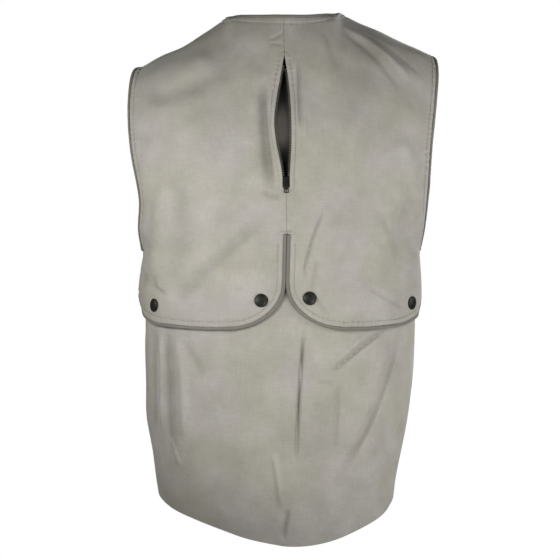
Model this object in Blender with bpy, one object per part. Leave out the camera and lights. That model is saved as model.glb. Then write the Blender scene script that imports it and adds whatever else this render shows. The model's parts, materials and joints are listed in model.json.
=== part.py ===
"""Hunting vest filled out as if worn, with nobody in it.

Metres, +Z up, the wearer faces +Y, so the back faces -Y and the wearer's left is at -X. The origin lies
midway between the middles of the two shoulder seams, where the wearer's shoulders carry the vest.

The outside of the garment is one smooth form. A point of it is named by a half (back or front), by a share
across (-1 at the left side seam or armhole, 0 at the centre line, 1 at the right) and by a level (0 at the
hem, UNDERARM at the underarm, BLADE at the shoulder blades, TOP at the neckline and shoulder seams).
Every cloth piece is a grid of points of that form, moved out or in by its place in the layers, and its
bindings run through the same edge points.
"""

import math

import bmesh
import bpy
import numpy as np
from mathutils import Matrix, Vector
from mathutils.bvhtree import BVHTree

# Cloth and layers
CLOTH = 0.0014  # cotton twill with its turned edges
LINING = 0.0010
SEAM_GAP = 0.0003  # between pieces that are sewn together
LINING_DEPTH = 0.0050  # from the outside of the back to the outside of the lining
LINING_EDGE_DEPTH = {"below": 0.0022, "armhole": 0.0030}  # the same where the lining is sewn in

SIDES = {"left": -1, "right": 1}

# Levels of the form
UNDERARM = 7
BLADE = 8
TOP = 9

# Form below the arms. Heights at the centre back, side seam and centre front, half widths of the left and
# right side, and depths of back and front from the plane of the side seams.
RING_COLUMNS = ("z_back", "z_side", "z_front", "left", "right", "back", "front")
RINGS = (
    (-0.681, -0.608, -0.598, 0.1715, 0.1515, 0.098, 0.116),  # hem
    (-0.645, -0.579, -0.570, 0.1765, 0.1555, 0.114, 0.121),
    (-0.598, -0.543, -0.537, 0.1822, 0.1625, 0.127, 0.125),
    (-0.540, -0.502, -0.498, 0.1880, 0.1702, 0.134, 0.128),
    (-0.476, -0.455, -0.453, 0.1883, 0.1757, 0.137, 0.130),
    (-0.405, -0.402, -0.402, 0.1890, 0.1787, 0.134, 0.131),
    (-0.345, -0.346, -0.346, 0.1890, 0.1787, 0.130, 0.132),
    (-0.290, -0.290, -0.290, 0.1920, 0.1845, 0.127, 0.131),  # underarm
)
SQUARENESS = 2.5  # of the rings: 2 is an ellipse
TYPICAL_WIDTH, TYPICAL_DEPTH = 0.188, 0.130  # half width and depth of a ring at the middle of the back
SIDE_RISE = 1.55  # how late along a ring its height turns from the centre's to the side's
BULGE_COLUMNS = ("share", "spread", "size")
HEM_DIPS = ((0.27, 0.24, 0.0070), (0.58, 0.17, 0.0060))  # where the hem hangs lower
HEM_DIP_LEVELS = 3
HEM_CURL = (-0.55, 0.40, 0.0110)  # where the back of the hem turns under
HEM_CURL_LEVELS = 3.2
BLADE_Z = -0.170
BLADE_DEPTH = {"back": 0.121, "front": 0.128}
BLADE_TO_TOP = 0.19  # pull of the cloth from the blades towards the shoulders

# Cut edge of the armholes: half widths at each height, and how far it swings from the side plane
ARMHOLE_COLUMNS = ("z", "back_left", "back_right", "front_left", "front_right")
ARMHOLE = (
    (-0.290, 0.1920, 0.1845, 0.1920, 0.1845),
    (-0.264, 0.1948, 0.1880, 0.1870, 0.1810),
    (-0.225, 0.1925, 0.1910, 0.1835, 0.1785),
    (-0.170, 0.2012, 0.1945, 0.1840, 0.1800),
)
ARMHOLE_REACH = {"back": 0.062, "front": 0.074}

# Shoulder seams, from the neck to the tips, as half widths and heights
SHOULDER_COLUMNS = ("share", "x_left", "z_left", "x_right", "z_right")
SHOULDER = (
    (0.00, 0.0795, 0.0300, 0.0770, 0.0362),
    (0.20, 0.1037, 0.0106, 0.1019, 0.0222),
    (0.45, 0.1333, -0.0080, 0.1330, 0.0088),
    (0.75, 0.1680, -0.0242, 0.1704, -0.0094),
    (1.00, 0.1980, -0.0400, 0.2008, -0.0248),
)
SHOULDER_END_DROP = {"left": 0.026, "right": 0.038}  # turn of the cloth towards the tips
DROP_FROM = 0.6  # share across at which that turn sets in
PULL_COLUMNS = ("share", "pull")  # how straight the cloth runs up to the neckline and shoulder seam
TOP_PULL = ((0.0, 0.13), (0.33, 0.14), (0.66, 0.18), (1.0, 0.13))
NECK_SHARE = 0.33  # share across at which neckline and shoulder seam meet
NECK_BACK = (-0.0660, 0.0212)  # y and z of the centre back of the neckline
NECK_FRONT = (0.0780, -0.0300)  # the form goes on to here, inside the V that is cut from the fronts
NECK_LEAN = 22  # degrees from upright of the cloth at the centre of the neckline

# The two capes: their back zip, the slit between them and their rounded flaps
SEAM_LEAN = (-0.0005, 0.0035)  # x of the centre back seam at the neck and at the top of the slit
SLIT_Z = -0.269
SLIT_SWING = 0.0032  # of the slit's foot to the left
FLAP_Z = -0.3920
FLAP_OUTER_RISE = 0.006
# Inner corners of the flaps: share across, share of the flap's height
FLAP_CORNERS = {"left": (0.265, 0.46), "right": (0.285, 0.48)}
# Outer corners: share across at which the bottom ends, share of the flap's height
FLAP_OUTER_CORNERS = {"left": (0.60, 0.45), "right": (0.56, 0.47)}
FLAP_SIDE = 0.968  # share across of the free side edge
FLAP_FREE = 0.62  # share of the flap's height up to which its side is free
FLAP_LIFT_COLUMNS = ("height", "middle", "side", "seam")
FLAP_LIFT = (
    (0.00, 0.0040, 0.0034, 0.0022),
    (0.15, 0.0042, 0.0054, 0.0022),
    (0.37, 0.0040, 0.0092, 0.0022),
    (0.62, 0.0026, 0.0074, 0.0022),
    (0.85, 0.0010, 0.0030, 0.0020),
    (1.00, 0.0000, 0.0000, 0.0000),
)
MOUTH_COLUMNS = ("z", "left", "right")
MOUTH = (
    (-0.0300, 0.0000, 0.0000),
    (-0.0660, 0.0066, 0.0050),
    (-0.0950, 0.0118, 0.0072),
    (-0.1250, 0.0144, 0.0079),
    (-0.1520, 0.0116, 0.0074),
    (-0.1800, 0.0066, 0.0056),
    (-0.1930, 0.0048, 0.0048),
    (-0.2110, 0.0048, 0.0048),
    (-0.2150, 0.0000, 0.0000),
)

# Lower back: a pouch whose mouth the flaps cover
POUCH_TOP_Z = -0.335
POUCH_SIDE_Z = -0.314

# Edge bindings, as widths and thicknesses
BINDING = (0.0040, 0.0034)
PIPING = (0.0036, 0.0030)

# Press studs on the flaps, as seen from straight behind
STUDS = {
    "outer_left": (-0.1725, -0.3635),
    "inner_left": (-0.0300, -0.3568),
    "inner_right": (0.0333, -0.3540),
    "outer_right": (0.1705, -0.3605),
}
STUD_RADIUS = 0.0090
STUD_HEIGHT = 0.0032
STUD_PROFILE = ((0.55, 0.0), (0.6, 0.12), (1.0, 0.2), (0.97, 0.5), (0.74, 0.84), (0.38, 1.0))

# Zips
ZIP_TAPE = 0.0010
TAPE_FRONT = -CLOTH - SEAM_GAP  # offset of the tape's outer face
TAPE_HIDDEN = 0.0045  # of the tape, behind the cloth
TEETH_REACH = 0.0028  # of a row of teeth, past the cloth's edge
TEETH_STAND = 0.0007  # of the teeth, off the tape
FRONT_GAP = 0.0048  # half the gap between the two fronts, in which the teeth show
SLIDER_WIDTH = 0.0082
SLIDER_LENGTH = 0.0135
BACK_SLIDER_Z = -0.2010
FRONT_SLIDER_Z = -0.1830
PLATE = 0.0012
BACK_PLATE = 0.00084
POST = 0.0013
BRIDGE, BRIDGE_WALL, BRIDGE_RISE = 0.0016, 0.0010, 0.0030
BRIDGE_TOP_Z, BRIDGE_LOW_Z = 0.0040, -0.0030  # from the slider's middle
HINGE_RISE, HINGE_Z = 0.0009, 0.0020  # of the tab's pin, off the slider's plate and from its middle
TAB_LENGTH = 0.0175
TAB_THICK, TAB_ARM, TAB_WIDTH = 0.0010, 0.0011, 0.0062
TAB_EYE = 0.0029  # width of the eye round the bridge
TAB_PLATE, TAB_PLATE_Z = 0.0050, -0.0096  # height of the plate and its place from the pin

# Largest folds, as seen from straight behind or in front: a soft ridge along a line
FOLD_COLUMNS = ("x0", "z0", "x1", "z1", "width", "height")
FOLD_END = 0.25  # share of its length in which a fold rises at either end
CAPE_FOLDS = (
    (-0.022, -0.060, -0.022, -0.170, 0.0090, 0.0022),  # raised edge of the zip
    (-0.150, -0.385, -0.040, -0.235, 0.0160, 0.0030),
    (-0.175, -0.330, -0.085, -0.200, 0.0200, 0.0028),
    (0.024, -0.215, 0.034, -0.345, 0.0120, 0.0022),
    (0.150, -0.150, 0.118, -0.300, 0.0180, 0.0026),
    (0.085, 0.000, 0.150, -0.085, 0.0130, 0.0026),
    (-0.175, -0.050, -0.105, -0.030, 0.0150, 0.0022),
)
POUCH_FOLDS = (
    (0.018, -0.400, 0.010, -0.570, 0.0110, 0.0040),  # pleat beside the centre
    (0.110, -0.398, 0.052, -0.450, 0.0100, 0.0032),
    (0.135, -0.402, 0.080, -0.560, 0.0150, 0.0034),
    (-0.158, -0.400, -0.150, -0.520, 0.0090, 0.0034),
    (-0.135, -0.405, -0.105, -0.580, 0.0130, 0.0028),
    (-0.010, -0.560, -0.004, -0.670, 0.0100, 0.0030),
)
FRONT_FOLDS = (
    (-0.110, -0.215, -0.040, -0.330, 0.0200, 0.0030),
    (0.105, -0.205, 0.045, -0.340, 0.0200, 0.0030),
    (-0.135, -0.400, -0.105, -0.580, 0.0160, 0.0034),
    (0.120, -0.380, 0.095, -0.570, 0.0160, 0.0034),
)

# Grids of the cloth pieces
CAPE_SHARES = (0.0, 0.08, 0.165, 0.25, NECK_SHARE, 0.43, 0.53, 0.63, 0.73, 0.83, 0.92, 1.0)
FLAP_HEIGHTS = (0.0, 0.018, 0.06, 0.13, 0.22, 0.33, 0.46, FLAP_FREE, FLAP_FREE + 0.02, 0.8, 0.99)
SEAM_ROWS = (SLIT_Z, -0.250, -0.232, -0.215, -0.211)
ZIP_ROWS = (-0.193, -0.180, -0.166, -0.152, -0.139, -0.125, -0.110, -0.095, -0.080, -0.066, -0.048, -0.030)
CAPE_HEIGHTS = (*SEAM_ROWS, *ZIP_ROWS, -0.018, -0.006, 0.008)
FRONT_SHARES = (0.0, 0.09, 0.19, 0.29, 0.40, 0.51, 0.62, 0.73, 0.83, 0.92, 1.0)
BELOW_ARMS = 12
FRONT_LEVELS = np.concatenate(
    [np.linspace(0, UNDERARM, BELOW_ARMS), (7.2, 7.4, 7.6, 7.8), np.linspace(BLADE, TOP, 8)]
)
POUCH_CELLS = (14, 30)
LINING_SEAM, LINING_SEAM_GAP = 6, 0.004  # level of its cross seam, half the gap there in levels
LINING_LEVELS = {
    "low": np.linspace(0.15, LINING_SEAM - LINING_SEAM_GAP, 8),
    "high": np.concatenate(
        [np.linspace(LINING_SEAM + LINING_SEAM_GAP, UNDERARM, 4), np.linspace(UNDERARM, 8.92, 11)[1:]]
    ),
}
LINING_PANEL_COLUMNS = ("name", "levels", "from_share", "to_share", "points", "twisted")
LINING_PANELS = (
    ("pouch_lining", "low", -1.0, 1.0, 19, False),
    ("back_lining_left", "high", -1.0, -1 / 3, 7, True),
    ("back_lining", "high", -1 / 3, 1 / 3, 7, False),
    ("back_lining_right", "high", 1 / 3, 1.0, 7, True),
)
LINING_SHARE = 0.992  # share across at which the lining ends, short of the side seam


def column(columns, rows, name):
    return np.array([row[columns.index(name)] for row in rows])


def smooth_curve(knots, values, at):
    """A smooth curve through (knots, values), read at the given places."""
    slopes = np.gradient(values, knots)
    at = np.clip(at, knots[0], knots[-1])
    cell = np.clip(np.searchsorted(knots, at, side="right") - 1, 0, len(knots) - 2)
    span = knots[cell + 1] - knots[cell]
    t = (at - knots[cell]) / span
    start = (1 + 2 * t) * (1 - t) ** 2 * values[cell] + t * (1 - t) ** 2 * span * slopes[cell]
    end = t * t * (3 - 2 * t) * values[cell + 1] - t * t * (1 - t) * span * slopes[cell + 1]
    return start + end


def ease(t):
    t = np.clip(t, 0, 1)
    return t * t * (3 - 2 * t)


def unit(vectors):
    return vectors / np.linalg.norm(vectors, axis=-1, keepdims=True)


def even_angles():
    """Polar angles, as shares of a right angle, that space points evenly along a typical ring."""
    angle = np.linspace(0, math.pi / 2, 400)
    rounded = (np.sin(angle) / TYPICAL_WIDTH) ** SQUARENESS + (np.cos(angle) / TYPICAL_DEPTH) ** SQUARENESS
    radius = rounded ** (-1 / SQUARENESS)
    step = np.hypot(np.diff(radius * np.sin(angle)), np.diff(radius * np.cos(angle)))
    length = np.concatenate([[0], np.cumsum(step)])
    knots = np.linspace(0, 1, 13)
    return knots, np.interp(knots, length / length[-1], angle) / (math.pi / 2), length[-1]


ANGLE_KNOTS, ANGLE_SHARES, HALF_RING = even_angles()


def share_of(length):
    """Share across that a length takes up on a typical ring."""
    return length / HALF_RING


SEAM_EDGE = 1 - share_of(SEAM_GAP / 2)


def ring_place(share, edge_x, edge_y, depth):
    """x and distance from the side plane, on a ring cut off at its edge."""
    wide = edge_x / (1 - (edge_y / depth) ** SQUARENESS) ** (1 / SQUARENESS)
    angle = np.arctan2(edge_x, edge_y) * smooth_curve(ANGLE_KNOTS, ANGLE_SHARES, np.abs(share))
    rounded = np.abs(np.sin(angle) / wide) ** SQUARENESS + np.abs(np.cos(angle) / depth) ** SQUARENESS
    radius = rounded ** (-1 / SQUARENESS)
    return np.sign(share) * radius * np.sin(angle), radius * np.cos(angle)


def bulge(row, share):
    """A soft bulge across the back."""
    place = dict(zip(BULGE_COLUMNS, row, strict=True))
    return place["size"] * np.exp(-(((share - place["share"]) / place["spread"]) ** 2))


def ring_form(half, share, level):
    """A point of the form from the hem to the blades."""
    away = -1 if half == "back" else 1
    knots = np.arange(len(RINGS), dtype=float)
    low = np.clip(level, 0, UNDERARM)
    ring = {name: smooth_curve(knots, column(RING_COLUMNS, RINGS, name), low) for name in RING_COLUMNS}
    rise = np.clip(level - UNDERARM, 0, 1)
    turn = rise * math.pi / 2
    lowest = RINGS[-1][RING_COLUMNS.index("z_side")]
    edge_z = np.where(turn > 0, BLADE_Z - (BLADE_Z - lowest) * np.cos(turn), ring["z_side"])
    heights = column(ARMHOLE_COLUMNS, ARMHOLE, "z")
    edge = {}
    for side in SIDES:
        cut = smooth_curve(heights, column(ARMHOLE_COLUMNS, ARMHOLE, f"{half}_{side}"), edge_z)
        edge[side] = np.where(turn > 0, cut, ring[side])
    depth = ring[half] + (BLADE_DEPTH[half] - ring[half]) * rise
    centre_z = ring["z_" + half] + (BLADE_Z - ring["z_" + half]) * rise
    edge_x = np.where(share < 0, edge["left"], edge["right"])
    x, y = ring_place(share, edge_x, ARMHOLE_REACH[half] * np.sin(turn), depth)
    z = centre_z + (edge_z - centre_z) * np.abs(share) ** SIDE_RISE
    if half == "back":
        for row in HEM_DIPS:
            z = z - bulge(row, share) * ease(1 - level / HEM_DIP_LEVELS)
        under = np.clip(1 - level / HEM_CURL_LEVELS, 0, 1) ** 2 * ease((1 - np.abs(share)) / 0.15)
        y = y - bulge(HEM_CURL, share) * under
    return np.stack([x, away * y, z], -1)


def top_edge(half, share):
    """The neckline and shoulder seam, and the way the cloth runs where it reaches them."""
    away = -1 if half == "back" else 1
    across = np.abs(share)
    along = np.clip((across - NECK_SHARE) / (1 - NECK_SHARE), 0, 1)
    knots = column(SHOULDER_COLUMNS, SHOULDER, "share")
    seam = {}
    for name in SHOULDER_COLUMNS:
        seam[name] = smooth_curve(knots, column(SHOULDER_COLUMNS, SHOULDER, name), along)
    x = np.where(share < 0, seam["x_left"], seam["x_right"])
    z = np.where(share < 0, seam["z_left"], seam["z_right"])
    neck_y, neck_z = NECK_BACK if half == "back" else NECK_FRONT
    round_neck = np.clip(across / NECK_SHARE, 0, 1)
    turn = round_neck * math.pi / 2
    y = away * abs(neck_y) * np.cos(turn)
    z = neck_z + (z - neck_z) * (1 - np.cos(turn))
    lean = math.radians(NECK_LEAN) + math.radians(90 - NECK_LEAN) * ease(round_neck)
    places = column(PULL_COLUMNS, TOP_PULL, "share")
    pull = np.interp(across, places, column(PULL_COLUMNS, TOP_PULL, "pull"))
    drop = np.where(share < 0, SHOULDER_END_DROP["left"], -SHOULDER_END_DROP["right"])
    drop = drop * ease((across - DROP_FROM) / (1 - DROP_FROM))
    heading = np.stack([drop, -away * pull * np.sin(lean), pull * np.cos(lean)], -1)
    return np.stack([np.sign(share) * x * np.sin(turn), y, z], -1), heading


def form(half, share, level):
    """A point of the outside of the vest."""
    share, level = np.broadcast_arrays(np.asarray(share, float), np.asarray(level, float))
    share = np.where(share == 0, 1e-9, share)
    point = ring_form(half, share, np.minimum(level, BLADE))
    climb = ring_form(half, share, np.full(share.shape, float(BLADE)))
    climb = unit(climb - ring_form(half, share, np.full(share.shape, BLADE - 0.05))) * BLADE_TO_TOP
    end, heading = top_edge(half, share)
    t = np.clip(level - BLADE, 0, 1)[..., None]
    start = (1 + 2 * t) * (1 - t) ** 2 * point + t * (1 - t) ** 2 * climb
    return start + t * t * (3 - 2 * t) * end - t * t * (1 - t) * heading


def outward(half, share, level):
    """Unit normal of the form, read a little inside its edges."""
    step = 0.008
    share, level = np.broadcast_arrays(np.asarray(share, float), np.asarray(level, float))
    share = np.clip(share, step - 1, 1 - step)
    level = np.where(level > UNDERARM, np.maximum(level, UNDERARM + 5 * step), level)
    level = np.clip(level, step, TOP - step)
    across = form(half, share + step, level) - form(half, share - step, level)
    up = form(half, share, level + step) - form(half, share, level - step)
    return unit(np.cross(across, up) * (1 if half == "back" else -1))


def level_of(half, share, z):
    """The level at which the form reaches a height, by halving."""
    share, z = np.broadcast_arrays(np.asarray(share, float), np.asarray(z, float))
    low, high = np.zeros(share.shape), np.full(share.shape, float(TOP))
    for _ in range(26):
        middle = (low + high) / 2
        above = form(half, share, middle)[..., 2] > z
        high = np.where(above, middle, high)
        low = np.where(above, low, middle)
    return (low + high) / 2


def share_at(half, level, x):
    """Share across of a small distance from the centre line."""
    probe = np.where(np.asarray(x) < 0, -0.01, 0.01)
    return x * probe / form(half, probe, level)[..., 0]


def fold_lift(folds, x, z):
    """How far the folds push the cloth out."""
    lift = np.zeros(np.shape(x))
    for row in folds:
        fold = dict(zip(FOLD_COLUMNS, row, strict=True))
        right, up = fold["x1"] - fold["x0"], fold["z1"] - fold["z0"]
        length = math.hypot(right, up)
        along = ((x - fold["x0"]) * right + (z - fold["z0"]) * up) / length**2
        aside = ((x - fold["x0"]) * up - (z - fold["z0"]) * right) / length
        ends = ease(along / FOLD_END) * ease((1 - along) / FOLD_END)
        lift += fold["height"] * np.exp(-((aside / fold["width"]) ** 2)) * ends
    return lift


def panel(half, share, level, offset=0.0, folds=()):
    """Outer points of a piece of cloth, and the normals along which its thickness goes."""
    share, level, offset = np.broadcast_arrays(share, level, offset)
    base, normal = form(half, share, level), outward(half, share, level)
    lift = offset + fold_lift(folds, base[..., 0], base[..., 2])
    return base + normal * lift[..., None], normal


def add_mesh(name, points, faces, material):
    mesh = bpy.data.meshes.new(name)
    mesh.from_pydata([tuple(p) for p in points], [], faces)
    work = bmesh.new()
    work.from_mesh(mesh)
    bmesh.ops.recalc_face_normals(work, faces=work.faces)
    work.to_mesh(mesh)
    work.free()
    mesh.materials.append(material)
    mesh.shade_smooth()
    mesh.set_sharp_from_angle(angle=math.radians(50))
    obj = bpy.data.objects.new(name, mesh)
    bpy.context.scene.collection.objects.link(obj)
    return obj


def grid_faces(rows, columns):
    return [
        (r * columns + c, r * columns + c + 1, (r + 1) * columns + c + 1, (r + 1) * columns + c)
        for r in range(rows - 1)
        for c in range(columns - 1)
    ]


def cloth_piece(name, points, normals, thickness, material, twisted=False):
    """A closed wall of cloth: a grid on its outer face, the same grid within, and its cut edges.

    The cells of a twisted piece are split along the same diagonal on both faces, so the wall stays even.
    """
    rows, columns = points.shape[:2]
    outer = points.reshape(-1, 3)
    inner = outer - normals.reshape(-1, 3) * thickness
    count = rows * columns
    faces = grid_faces(rows, columns)
    if twisted:
        faces = [half for a, b, c, d in faces for half in ((a, b, c), (a, c, d))]
    faces += [tuple(i + count for i in reversed(face)) for face in faces]
    rim = list(range(columns))
    rim += [r * columns + columns - 1 for r in range(1, rows)]
    rim += [(rows - 1) * columns + c for c in range(columns - 2, -1, -1)]
    rim += [r * columns for r in range(rows - 2, 0, -1)]
    faces += [(b, a, a + count, b + count) for a, b in zip(rim, rim[1:] + rim[:1], strict=True)]
    return add_mesh(name, np.concatenate([outer, inner]), faces, material)


def swept(name, stack, material, closed=False):
    """A closed band through a stack of like cross-sections."""
    count, corners = stack.shape[:2]
    faces = [
        (
            i * corners + k,
            i * corners + (k + 1) % corners,
            (i + 1) % count * corners + (k + 1) % corners,
            (i + 1) % count * corners + k,
        )
        for i in range(count if closed else count - 1)
        for k in range(corners)
    ]
    if not closed:
        faces += [tuple(range(corners)), tuple((count - 1) * corners + k for k in range(corners))]
    return add_mesh(name, stack.reshape(-1, 3), faces, material)


def edge_binding(name, path, size, material, closed=False):
    """A folded strip just past a cut edge. The path's rows are an edge point, its normal, a point inside."""
    points, normals, inside = (np.array([row[k] for row in path]) for k in range(3))
    width, thickness = size
    if closed:
        run = unit(np.roll(points, -1, 0) - np.roll(points, 1, 0))
    else:
        run = unit(np.gradient(points, axis=0))
        points[0] += run[0] * SEAM_GAP
        points[-1] -= run[-1] * SEAM_GAP
    away = points - inside
    side = unit(away - run * np.sum(away * run, axis=-1, keepdims=True))
    gap = SEAM_GAP + CLOTH * np.maximum(-np.sum(normals * side, axis=-1, keepdims=True), 0)
    normals = unit(normals - side * np.sum(normals * side, axis=-1, keepdims=True))
    corner = thickness * 0.3
    profile = (
        (0, -thickness / 2 + corner),
        (corner, -thickness / 2),
        (width - corner, -thickness / 2),
        (width, 0),
        (width - corner, thickness / 2),
        (corner, thickness / 2),
        (0, thickness / 2 - corner),
    )
    centre = points - normals * CLOTH / 2
    stack = [centre + side * (gap + across) + normals * out for across, out in profile]
    return swept(name, np.stack(stack, 1), material, closed)


def seam_x(z):
    share = np.clip((NECK_BACK[1] - z) / (NECK_BACK[1] - SLIT_Z), 0, 1)
    return SEAM_LEAN[0] + (SEAM_LEAN[1] - SEAM_LEAN[0]) * share


def mouth_width(side, z):
    """How far the back zip's mouth opens from the seam on one side."""
    heights = column(MOUTH_COLUMNS, MOUTH, "z")[::-1]
    return np.interp(z, heights, column(MOUTH_COLUMNS, MOUTH, side)[::-1])


SLIT_LEVEL = float(level_of("back", 0.0, SLIT_Z))


def flap_top(share):
    """Level of the line from the top of the slit to the underarms."""
    return UNDERARM + (SLIT_LEVEL - UNDERARM) * (1 - np.abs(share) ** 2)


def flap_bottom(share):
    return FLAP_Z + FLAP_OUTER_RISE * ease((np.abs(share) - 0.35) / 0.45)


def flap_level(share, height):
    """Level at a share of the flap's height."""
    top = form("back", share, flap_top(share))[..., 2]
    return level_of("back", share, flap_bottom(share) + (top - flap_bottom(share)) * height)


def flap_lift(share, height):
    """How far a flap stands off the pouch: it bellies out above the studs, most of all towards the side."""
    knots = column(FLAP_LIFT_COLUMNS, FLAP_LIFT, "height")
    middle, side, seam = (
        np.interp(height, knots, column(FLAP_LIFT_COLUMNS, FLAP_LIFT, name)) for name in FLAP_LIFT_COLUMNS[1:]
    )
    lift = middle + (side - middle) * ease((np.abs(share) - 0.62) / 0.25)
    return seam + (lift - seam) * ease((1 - np.abs(share)) / 0.045)


def flap_limits(side, height):
    """How far a flap's inner corner is cut away, and its outer share, at a share of its height."""
    width, tall = FLAP_CORNERS[side]
    rest = np.clip(1 - height / tall, 0, 1)
    inner = width * (1 - np.sqrt(1 - rest**2))
    bottom_end, tall = FLAP_OUTER_CORNERS[side]
    rest = np.clip(1 - height / tall, 0, 1)
    outer = bottom_end + (FLAP_SIDE - bottom_end) * np.sqrt(1 - rest**2)
    return inner, np.where(height > FLAP_FREE, SEAM_EDGE, outer)


def cape_grid(side):
    """Shares, levels and offsets of one cape, from the flap's edge to the neck and shoulder."""
    sign = SIDES[side]
    u = np.array(CAPE_SHARES)
    slit_x = seam_x(SLIT_Z) + sign * (PIPING[0] + 1.5 * SEAM_GAP)
    shares, levels, offsets = [], [], []
    for height in FLAP_HEIGHTS:
        corner, outer = flap_limits(side, height)
        centre_level = level_of("back", 0.0, FLAP_Z + (SLIT_Z - FLAP_Z) * height)
        swing = SLIT_SWING * (1 - height)
        inner = share_at("back", centre_level, slit_x - swing) + sign * corner
        share = inner + (sign * outer - inner) * u
        shares.append(share)
        levels.append(flap_level(share, height))
        offsets.append(flap_lift(share, height))
    for z in (*CAPE_HEIGHTS, NECK_BACK[1]):
        level = level_of("back", 0.0, z)
        inner = share_at("back", level, seam_x(z) + sign * (mouth_width(side, z) + SEAM_GAP / 2))
        share = inner + (sign * SEAM_EDGE - inner) * u
        climb = (level - SLIT_LEVEL) / (TOP - SLIT_LEVEL)
        if z == NECK_BACK[1]:
            climb = 1.0
            share[CAPE_SHARES.index(NECK_SHARE)] = sign * NECK_SHARE
        shares.append(share)
        levels.append(flap_top(share) + (TOP - flap_top(share)) * climb)
        offsets.append(np.zeros(len(u)))
    return np.array(shares), np.array(levels), np.array(offsets)


def open_shoulder(points, away, first):
    """Draws the shoulder edge back, for a seam's gap between back and front."""
    points[-1, first:, 1] += away * SEAM_GAP / 2


def make_capes(cloth, binding):
    """Returns the points and normals of both capes."""
    capes = {}
    for side in SIDES:
        points, normals = panel("back", *cape_grid(side), CAPE_FOLDS)
        open_shoulder(points, -1, CAPE_SHARES.index(NECK_SHARE))
        cloth_piece(f"cape_{side}", points, normals, CLOTH, cloth)
        capes[side] = (points, normals)
        ends = [(i, 0, i, 1) for i in range(len(FLAP_HEIGHTS) - 1, 0, -1)]
        ends += [(0, j, 1, j) for j in range(len(CAPE_SHARES))]
        ends += [(i, -1, i, -2) for i in range(1, FLAP_HEIGHTS.index(FLAP_FREE) + 1)]
        path = [(points[i, j], normals[i, j], points[k, m]) for i, j, k, m in ends]
        edge_binding(f"flap_piping_{side}", path, PIPING, binding)
    return capes


def make_pouch(cloth):
    rows, columns = POUCH_CELLS
    share = np.linspace(-SEAM_EDGE, SEAM_EDGE, columns + 1)
    top = level_of("back", share, POUCH_TOP_Z + (POUCH_SIDE_Z - POUCH_TOP_Z) * np.abs(share) ** 3)
    level = np.linspace(0, 1, rows + 1)[:, None] * top
    cloth_piece("pouch", *panel("back", share, level, 0.0, POUCH_FOLDS), CLOTH, cloth)


def make_lining(lining):
    """The inner wall of the pouch, and the middle and side panels of the lining above it."""
    sewn, loose = LINING_EDGE_DEPTH["below"], LINING_EDGE_DEPTH["armhole"]
    seam = share_of(SEAM_GAP / 2)
    for name, levels, first, last, points, twisted in LINING_PANELS:
        level = LINING_LEVELS[levels][:, None]
        edge = sewn + (loose - sewn) * ease(level - UNDERARM + 2)
        share = np.linspace(first + seam, last - seam, points) * LINING_SHARE
        within = ease((1 - np.abs(share)) / 0.16) * ease(level / 1.2) * ease((TOP - level) / 0.5)
        offset = -edge - (LINING_DEPTH - edge) * within
        cloth_piece(name, *panel("back", share, level, offset), LINING, lining, twisted)


def make_fronts(cloth):
    """Returns the points and normals of both fronts."""
    u = np.array(FRONT_SHARES)
    level = FRONT_LEVELS[:, None]
    inner = share_at("front", np.minimum(level, BLADE), FRONT_GAP)
    inner = inner + (NECK_SHARE - inner) * np.clip(level - BLADE, 0, 1)
    fronts = {}
    for side, sign in SIDES.items():
        points, normals = panel("front", sign * (inner + (SEAM_EDGE - inner) * u), level, 0.0, FRONT_FOLDS)
        open_shoulder(points, 1, 0)
        cloth_piece(f"front_{side}", points, normals, CLOTH, cloth)
        fronts[side] = (points, normals)
    return fronts


def between(one, other, index, other_index, inside):
    """A row of a binding's path where two pieces meet."""
    edge = (one[0][index] + other[0][other_index]) / 2
    return edge, unit(one[1][index] + other[1][other_index]), inside


def make_bindings(capes, fronts, binding):
    """Bindings through the cut edges of capes and fronts: one for each armhole and one for the neck."""
    low = len(FLAP_HEIGHTS)
    front_low = BELOW_ARMS - 1
    for side in SIDES:
        back, front = capes[side], fronts[side]
        (edge, out), (front_edge, front_out) = back, front
        path = [between(back, front, (low, -1), (front_low, -1), edge[low - 1, -1])]
        path += [(edge[i, -1], out[i, -1], edge[i, -2]) for i in range(low + 1, len(edge) - 1)]
        path.append(between(back, front, (-1, -1), (-1, -1), edge[-1, -2]))
        rows = range(len(FRONT_LEVELS) - 2, front_low, -1)
        path += [(front_edge[i, -1], front_out[i, -1], front_edge[i, -2]) for i in rows]
        edge_binding(f"armhole_binding_{side}", path, BINDING, binding, closed=True)
    neck = CAPE_SHARES.index(NECK_SHARE)
    rows = range(int(np.searchsorted(FRONT_LEVELS, BLADE)), len(FRONT_LEVELS) - 1)
    sides = {}
    for side in SIDES:
        (edge, out), (front_edge, front_out) = capes[side], fronts[side]
        up = [(front_edge[i, 0], front_out[i, 0], front_edge[i, 1]) for i in rows]
        up.append(between(capes[side], fronts[side], (-1, neck), (-1, 0), edge[-2, neck + 1]))
        sides[side] = up + [(edge[-1, j], out[-1, j], edge[-2, j]) for j in range(neck - 1, 0, -1)]
    centre = between(capes["left"], capes["right"], (-1, 0), (-1, 0), capes["left"][0][-2, 0])
    edge_binding("neck_binding", [*sides["left"], centre, *sides["right"][::-1]], BINDING, binding)


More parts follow.
